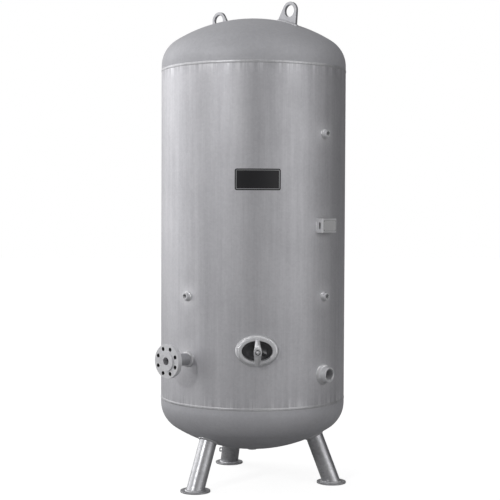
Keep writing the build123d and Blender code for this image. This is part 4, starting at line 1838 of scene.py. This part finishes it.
    def bow_plan(self, station: float) -> float:
        """Half width of the bow at a height above the stud."""
        if station > 0:
            far, tip = self.upper_toe, self.upper_toe_radius
        else:
            far, tip = self.lower_toe, self.lower_toe_radius
        reach = far - tip
        widest = 0.0
        steps = 48
        for step in range(steps + 1):
            centre = reach * step / steps
            radius = self.bow_half_width + (tip - self.bow_half_width) * step / steps
            gap = radius**2 - (abs(station) - centre) ** 2
            widest = max(widest, sqrt(gap) if gap > 0 else 0.0)
        return max(widest, 0.05 * MM)

    def bow_station(self, share: float) -> float:
        """Height over the stud at a share of the way up the bow, with stations that crowd at its toes."""
        return -self.lower_toe + (self.upper_toe + self.lower_toe) * (1 - cos(pi * share)) / 2

    def bow_section(self, share: float) -> Outline:
        """Section of the bow: a flat seat at the stud, and a rounded ridge over each limb."""
        station = self.bow_station(share)
        half = self.bow_plan(station)
        distance = abs(station)
        toe = self.upper_toe if station > 0 else self.lower_toe
        along = max(0.0, (distance - self.seat) / (toe - self.seat))
        back = self.bow_rise + (self.toe_height - self.bow_rise) * along
        back += 4 * self.bow_bulge * along * (1 - along)
        crown = self.bow_rise - self.bow_thickness
        arch = (self.bow_spring**2 + crown**2) / (2 * crown)
        under = 0.0
        if distance < self.bow_spring:
            under = sqrt(arch**2 - distance**2) - (arch - crown)
        ease = min(1.0, max(0.0, (distance - self.seat) / self.ridge_run))
        drop = min(self.ridge_drop, 0.5 * (back - under)) * ease * ease * (3 - 2 * ease)
        rounding = min(self.limb_rounding, half * 0.4, (back - under - drop) * 0.3)
        crest = self.crest_rounding * min(1.0, half / self.stud_radius)
        return round_corners([
            (-half, under, rounding * 0.6), (half, under, rounding * 0.6), (half, back - drop, rounding),
            (0, back, crest), (-half, back - drop, rounding),
        ], 3)

    def build_bow(self) -> None:
        """Forges the bow and drills it for the stud."""

        def place(share: float, right: float, out: float) -> Vector:
            """Point of the bow."""
            return self.branch.at(right, self.bow_station(share), self.face + out)

        bm = swept_section(96, self.bow_section, place)
        close_ends(bm)
        bow = object_from(bm, "handhole_forged_bow", 40)
        hole, length, start = self.stud_radius + MM, 0.1, self.face - 0.02
        drill = [(0, 0), (hole, 0), (hole, length), (0, length)]
        carve(bow, spun(drill, 40, self.branch.matrix(start), closed=False))
        present(bow, BOW, Body.BOW, "handhole_bow")

    def build_washer(self) -> None:
        """Turns the washer under the nut."""
        inner = self.stud_radius + MM
        radii = (0.3 * MM, 0.5 * MM, 0.7 * MM, 0.3 * MM)
        profile = rectangle((inner, self.washer_radius), (0, self.washer_thickness), radii, 2)
        washer = spun(profile, 64, self.branch.matrix(self.face + self.bow_rise))
        present(object_from(washer, "handhole_flat_washer"), FASTENER, Body.BOW, "handhole_washer")

    def build_nut(self) -> None:
        """Makes the hexagon nut, with its corners chamfered at both ends."""
        bore = self.stud_radius + 0.05 * MM
        flat = 0.95 * self.nut_half_flats
        top = self.nut_thickness
        start = self.face + self.bow_rise + self.washer_thickness
        sink = 0.8 * MM

        def place(turn: float, share: float) -> Vector:
            """Point of the nut."""
            angle = TURN * (turn % 1.0)
            sixth = pi / 3
            hexagon = self.nut_half_flats / cos((angle + sixth / 2) % sixth - sixth / 2)
            shave = tan(radians(30)) * (hexagon - flat)
            ring = (
                (bore, sink), (bore, top - sink), (bore + sink, top), (flat, top), (hexagon, top - shave),
                (hexagon, shave), (flat, 0.0), (bore + sink, 0.0), (bore, sink),
            )
            radius, out = ring[round(share * 8)]
            return self.branch.at(*polar(radius, angle), start + out)

        nut = object_from(swept(96, 8, place), "handhole_hexagon_nut", 25)
        present(nut, DARK_NUT_STEEL, Body.NUT, "handhole_nut")


# Nameplate and front label


@dataclass
class NameplateBracket:
    """Folded sheet bracket that carries a blank riveted nameplate off the shell."""

    branch: Branch
    form: VesselForm
    width: float = 111 * MM
    height: float = 70 * MM
    reach: float = 34 * MM
    sheet: float = 3 * MM
    bend: float = 5 * MM
    slot_length: float = 33 * MM
    slot_width: float = 9 * MM
    margin: float = 7 * MM
    plate_thickness: float = 1 * MM
    corner: float = 4 * MM
    rivet_radius: float = 2.5 * MM
    rivet_height: float = 1.4 * MM
    rivet_inset: float = 6 * MM
    sheet_edge: float = 0.4 * MM
    plate_edge: float = 0.25 * MM
    weld: FilletWeld = FilletWeld(3 * MM, 3 * MM, ripple_pitch=3 * MM)

    def build(self) -> None:
        """Builds and presents the bracket, its welds, the nameplate and its rivets."""
        self.build_bracket()
        self.build_welds()
        self.build_nameplate()

    def build_bracket(self) -> None:
        """Folds the sheet, cuts the slots in its two sides and paints shade on the faces inside the fold."""
        half = self.width / 2
        root = self.form.shell_reach(half) - self.form.radius - 1.5 * MM
        inner, low = half - self.sheet, self.reach - self.sheet
        outline = round_corners([
            (half, root, 0), (half, self.reach, self.bend), (-half, self.reach, self.bend), (-half, root, 0),
            (-inner, root, 0), (-inner, low, self.bend - self.sheet), (inner, low, self.bend - self.sheet),
            (inner, root, 0),
        ], 6)
        bm = plate(outline, [], self.height)
        azimuth = self.branch.azimuth
        origin = self.branch.at(0, self.height / 2, self.form.radius)
        upright = axes_matrix(sideways(azimuth), outward(azimuth), -UP, origin)
        bracket = object_from(moved(bm, upright), "nameplate_folded_bracket")
        end, straight = self.slot_width / 2, self.slot_length / 2
        nearly_round = end * 0.999
        slot = rectangle((-end, end), (-straight, straight), [nearly_round] * 4, 8)
        cutter = plate(slot, [], 2 * self.width)
        middle = self.branch.at(-self.width, 0, self.form.radius + self.reach / 2)
        across = axes_matrix(-outward(azimuth), UP, sideways(azimuth), middle)
        carve(bracket, moved(cutter, across))
        bracket.data.set_sharp_from_angle(angle=radians(35))
        soften(bracket, self.sheet_edge)
        finish = replace(FORGING, name="galvanised_bracket", slot="galvanised_sheet")
        present(bracket, finish, Body.TANK, "nameplate_bracket")
        into = self.branch.matrix(self.form.radius).inverted()
        skin = 0.6 * self.sheet
        side, front = half - skin, self.reach - skin

        def within(polygon: bpy.types.MeshPolygon) -> bool:
            """Whether a face lies inside the folded sheet, where shade is painted."""
            spot = into @ polygon.center
            return abs(spot.x) < side and spot.z < front

        # Painted shade on the inside of the fold, seen through the slots.
        paint_shade_on_faces(bracket, within)

    def side_bead(self, side: int) -> Mesh:
        """Short weld down the outside of one side, -1 for the left and 1 for the right."""
        half = self.width / 2
        leg = self.weld.leg
        reach, far = self.form.shell_reach(half), self.form.shell_reach(half + leg)
        host = self.branch.at(side * (half + leg), 0, far) - self.branch.at(side * half, 0, reach)
        host = host.normalized()
        wall = outward(self.branch.azimuth)

        def place(share: float, turn: float) -> Vector:
            """Point of the bead's skin."""
            away, high = self.weld.section(turn)
            taper = min(1.0, 12 * share, 12 * (1 - share))
            ripples = TURN * share * self.height / self.weld.ripple_pitch
            ripple = 1 + self.weld.ripple_depth * sin(ripples)
            swell = sqrt(taper) * ripple
            root = self.branch.at(side * half, self.height * (share - 0.5), reach)
            return root + host * (away * leg * swell) + wall * (high * self.weld.rise * swell)

        return swept(120, self.weld.around, place)

    def build_welds(self) -> None:
        """Lays the welds of the two sides."""
        beads = joined(*(self.side_bead(side) for side in (-1, 1)))
        piece = object_from(beads, "nameplate_bracket_weld_beads", BEAD_SHARPNESS)
        present(piece, BEAD, Body.TANK, "nameplate_bracket_weld")

    def build_nameplate(self) -> None:
        """Makes the blank plate and its four rivets."""
        half_width, half_height = self.width / 2 - self.margin, self.height / 2 - self.margin
        outline = rectangle((-half_width, half_width), (-half_height, half_height), [self.corner] * 4, 6)
        face = self.form.radius + self.reach
        bm = moved(plate(outline, [], self.plate_thickness), self.branch.matrix(face))
        piece = object_from(bm, "blank_nameplate")
        soften(piece, self.plate_edge)
        finish = FramedFinish(
            "etched_nameplate", "nameplate_metal", middle=self.branch.at(0, 0, face),
            azimuth=self.branch.azimuth, width=2 * half_width, height=2 * half_height,
            corner=self.corner, inset=2.4 * MM, line=0.7 * MM,
            ground=(0.62, 0.62, 0.63), ink=(0.12, 0.12, 0.125), metallic=0.30, roughness=0.40,
        )
        present(piece, finish, Body.TANK, "nameplate")
        dome = [
            (self.rivet_radius * cos(angle), self.rivet_height * sin(angle))
            for angle in (pi / 2 * step / 6 for step in range(7))
        ]
        profile = [(0, -0.3 * MM), (self.rivet_radius, -0.3 * MM), *dome]
        heads = []
        for side in (-1, 1):
            for row in (-1, 1):
                right = side * (half_width - self.rivet_inset)
                up = row * (half_height - self.rivet_inset)
                place = self.branch.matrix(face + self.plate_thickness) @ Matrix.Translation((right, up, 0))
                heads.append(spun(profile, 24, place, closed=False))
        present(object_from(joined(*heads), "nameplate_rivet_heads"), RIVET, Body.TANK, "nameplate_rivets")


@dataclass
class FrontLabel:
    """Blank printed panel that follows the front of the shell."""

    branch: Branch
    form: VesselForm
    width: float = 222 * MM
    height: float = 104 * MM
    corner: float = 10 * MM
    thickness: float = 0.5 * MM
    depth_share: float = 0.95

    def build(self) -> None:
        """Builds and presents the panel."""

        def place(side: float, share: float) -> Vector:
            """Point of the panel's outer skin."""
            up = self.height / 2 * sin(pi * (share - 0.5))
            past = max(0.0, abs(up) - (self.height / 2 - self.corner))
            half = self.width / 2 - self.corner + sqrt(max(self.corner**2 - past**2, 0))
            right = (2 * side - 1) * half
            return self.branch.at(right, up, self.form.shell_reach(right) + self.thickness)

        bm = swept(56, 40, place)
        thicken(bm, self.thickness * self.depth_share)
        finish = FramedFinish(
            "printed_label", "label_film", middle=self.branch.at(0, 0, self.form.radius),
            azimuth=self.branch.azimuth, width=self.width, height=self.height, corner=self.corner,
        )
        present(object_from(bm, "blank_front_label"), finish, Body.TANK, "front_label")


# Studio


@dataclass(frozen=True)
class FloorFinish(Finish):
    """Pale studio floor that stays bright to the eye and throws little light back at the vessel."""

    tone: Colour = (0.34, 0.34, 0.34)
    lift: float = 0.86
    bounce: Colour = (0.34, 0.34, 0.34)

    def draw(self, book: NodeBook) -> None:
        """Adds the finish's nodes."""
        seen = book.node(
            "BsdfPrincipled", {},
            {"Base Color": (*self.tone, 1), "Roughness": 0.9, "Emission Color": (1, 1, 1, 1),
             "Emission Strength": self.lift, "Specular IOR Level": 0.1},
        )
        unseen = book.node("BsdfDiffuse", {}, {"Color": (*self.bounce, 1)})
        book.node("OutputMaterial", {}, {"Surface": book.by_sight(unseen, seen)})


@dataclass
class Studio:
    """Floor, soft light all round, a key light and the camera."""

    camera_azimuth: float = -2.66
    camera_distance: float = 6.32
    camera_height: float = 1.388
    camera_tilt: float = -1.76
    camera_swing: float = 0.14
    camera_roll: float = 0.24
    lens: float = 87.6
    sensor: float = 36.0
    floor_size: float = 60.0
    key_azimuth: float = -39.0
    key_elevation: float = 21.0
    key_distance: float = 14.0
    key_size: float = 1.5
    key_power: float = 420.0
    key_aim: float = 1.25
    light_by_azimuth: tuple[tuple[float, float], ...] = (
        (-180, 0.30), (-150, 0.95), (-120, 2.30), (-98, 1.90), (-70, 0.80), (-50, 0.12), (-20, 0.06),
        (5, 0.26), (30, 0.85), (50, 2.00), (66, 1.20), (80, 0.14), (100, 0.02), (140, 0.01),
        (165, 0.02), (180, 0.30),
    )
    light_overhead: Colour = (0.36, 0.36, 0.36)
    overhead_share: float = 0.8

    def build(self) -> None:
        """Builds the studio."""
        bpy.context.scene.view_settings.view_transform = "Standard"
        self.build_floor()
        self.build_world()
        self.build_key()
        self.build_camera()

    def build_floor(self) -> None:
        """Lays the floor."""
        bm = bmesh.new()
        bmesh.ops.create_grid(bm, x_segments=1, y_segments=1, size=self.floor_size / 2)
        floor = object_from(bm, "studio_floor")
        floor.data.materials.append(FloorFinish("studio_floor", "none").material())

    def build_world(self) -> None:
        """Draws a soft room of light that is brighter to the left and on the front right."""
        world = bpy.data.worlds.new("soft_room")
        world.use_nodes = True
        bpy.context.scene.world = world
        book = NodeBook(world.node_tree)
        place = book.node("TexCoord", output="Generated")
        axes = book.node("SeparateXYZ", {}, {0: place})
        turn = axes.angle_over(-1.0 * axes.also("Y")) / TURN + 0.5
        stops = [((azimuth + 180) / 360, light) for azimuth, light in self.light_by_azimuth]
        ramp = book.node("ValToRGB", {"stops": stops}, {0: turn})
        overhead = axes.also("Z").step_over(0.2, 1.0)
        light = book.blend(overhead * self.overhead_share, ramp, self.light_overhead)
        soft = book.node("Background", {}, {"Color": light, "Strength": 1.0})
        plain = book.node("Background", {}, {"Color": (1, 1, 1, 1), "Strength": 1.0})
        book.node("OutputWorld", {}, {"Surface": book.by_sight(soft, plain)})

    def build_key(self) -> None:
        """Hangs a large soft light on the upper left."""
        lamp = bpy.data.lights.new("key_light", "AREA")
        lamp.shape = "DISK"
        lamp.size = self.key_size
        lamp.energy = self.key_power
        key = bpy.data.objects.new("key_light", lamp)
        rise = radians(self.key_elevation)
        middle = Vector((0, 0, self.key_aim))
        away = outward(self.key_azimuth) * cos(rise) + UP * sin(rise)
        key.location = middle + away * self.key_distance
        key.rotation_euler = (-away).to_track_quat("-Z", "Y").to_euler()
        bpy.context.scene.collection.objects.link(key)

    def build_camera(self) -> None:
        """Stands the camera in front of the handhole, a little to its left."""
        lens = bpy.data.cameras.new("camera")
        lens.lens = self.lens
        lens.sensor_width = self.sensor
        camera = bpy.data.objects.new("camera", lens)
        swing = Matrix.Rotation(radians(self.camera_azimuth + self.camera_swing), 4, "Z")
        tilt = Matrix.Rotation(radians(90 + self.camera_tilt), 4, "X")
        roll = Matrix.Rotation(radians(self.camera_roll), 4, "Z")
        stand = outward(self.camera_azimuth) * self.camera_distance + UP * self.camera_height
        camera.matrix_world = Matrix.Translation(stand) @ swing @ tilt @ roll
        bpy.context.scene.collection.objects.link(camera)
        bpy.context.scene.camera = camera


# The whole receiver


def middle_level(node: str) -> float:
    """Level of the middle of a CAD node."""
    low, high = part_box(node)
    return (low.z + high.z) / 2


def main() -> None:
    """Builds the receiver and its studio."""
    shell_low, shell_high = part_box("shell")
    form = VesselForm(shell_high.x, shell_low.z, shell_high.z)
    small_weld = FilletWeld(7 * MM, 5.6 * MM)
    half_inch = {
        "radius": 19 * MM, "bore": 9.315 * MM, "reach": 22 * MM, "pitch": 1.814 * MM, "weld": small_weld,
    }
    sockets = [
        ThreadedSocket(
            "outlet", Branch(45, middle_level("outlet_socket")), form, radius=37.5 * MM, bore=28.33 * MM,
            reach=41 * MM, pitch=2.309 * MM, weld=FilletWeld(15 * MM, 12 * MM, ripple_pitch=5.5 * MM),
        ),
        ThreadedSocket("gauge", Branch(45, middle_level("gauge_socket")), form, **half_inch),
        ThreadedSocket("switch", Branch(45, middle_level("switch_socket")), form, **half_inch),
        ThreadedSocket("valve", Branch(-45, middle_level("valve_socket")), form, **half_inch),
    ]
    drain = DrainSocket(
        "drain", Branch(0, 0), form, radius=24 * MM, bore=12.06 * MM, reach=14 * MM, pitch=1.814 * MM,
        weld=FilletWeld(6 * MM, 6 * MM),
    )
    inlet = FlangedInlet(Branch(-45, middle_level("inlet_flange")), form)
    handhole = Handhole(Branch(0, middle_level("handhole_ring")), form)
    hole_relief = 1 * MM
    openings = [
        Opening(fitting.branch, fitting.bore + hole_relief, fitting.bore + hole_relief)
        for fitting in (*sockets, inlet)
    ]
    ring_width = handhole.half_width + handhole.wall_side
    openings.append(Opening(handhole.branch, ring_width, handhole.half_height + handhole.wall_end))
    leg_azimuths = {"left": -45.0, "right": 75.0, "rear": 195.0}
    legs = [Leg(name, azimuth, form) for name, azimuth in leg_azimuths.items()]
    bracket = NameplateBracket(Branch(45, middle_level("nameplate_bracket")), form)
    # Reach of the painted highlight round each socket, the bracket and the inlet.
    highlight_halo_margin, highlight_halo_share, bracket_highlight_halo, inlet_highlight_halo = 60 * MM, 2.2, 130 * MM, 140 * MM
    highlight_halos = [(socket.branch, highlight_halo_margin + highlight_halo_share * socket.radius) for socket in sockets]
    highlight_halos += [(bracket.branch, bracket_highlight_halo), (inlet.branch, inlet_highlight_halo)]
    assemblies = [
        Vessel(form, openings, drain.bore + hole_relief, highlight_halos),
        *legs,
        EarthingLug(legs[2]),
        LiftingLug("right", 45.0, form),
        LiftingLug("left", 225.0, form),
        inlet,
        *sockets,
        drain,
        handhole,
        bracket,
        FrontLabel(Branch(0, middle_level("front_label")), form),
        Studio(),
    ]
    for assembly in assemblies:
        assembly.build()


if __name__ == "__main__":
    main()
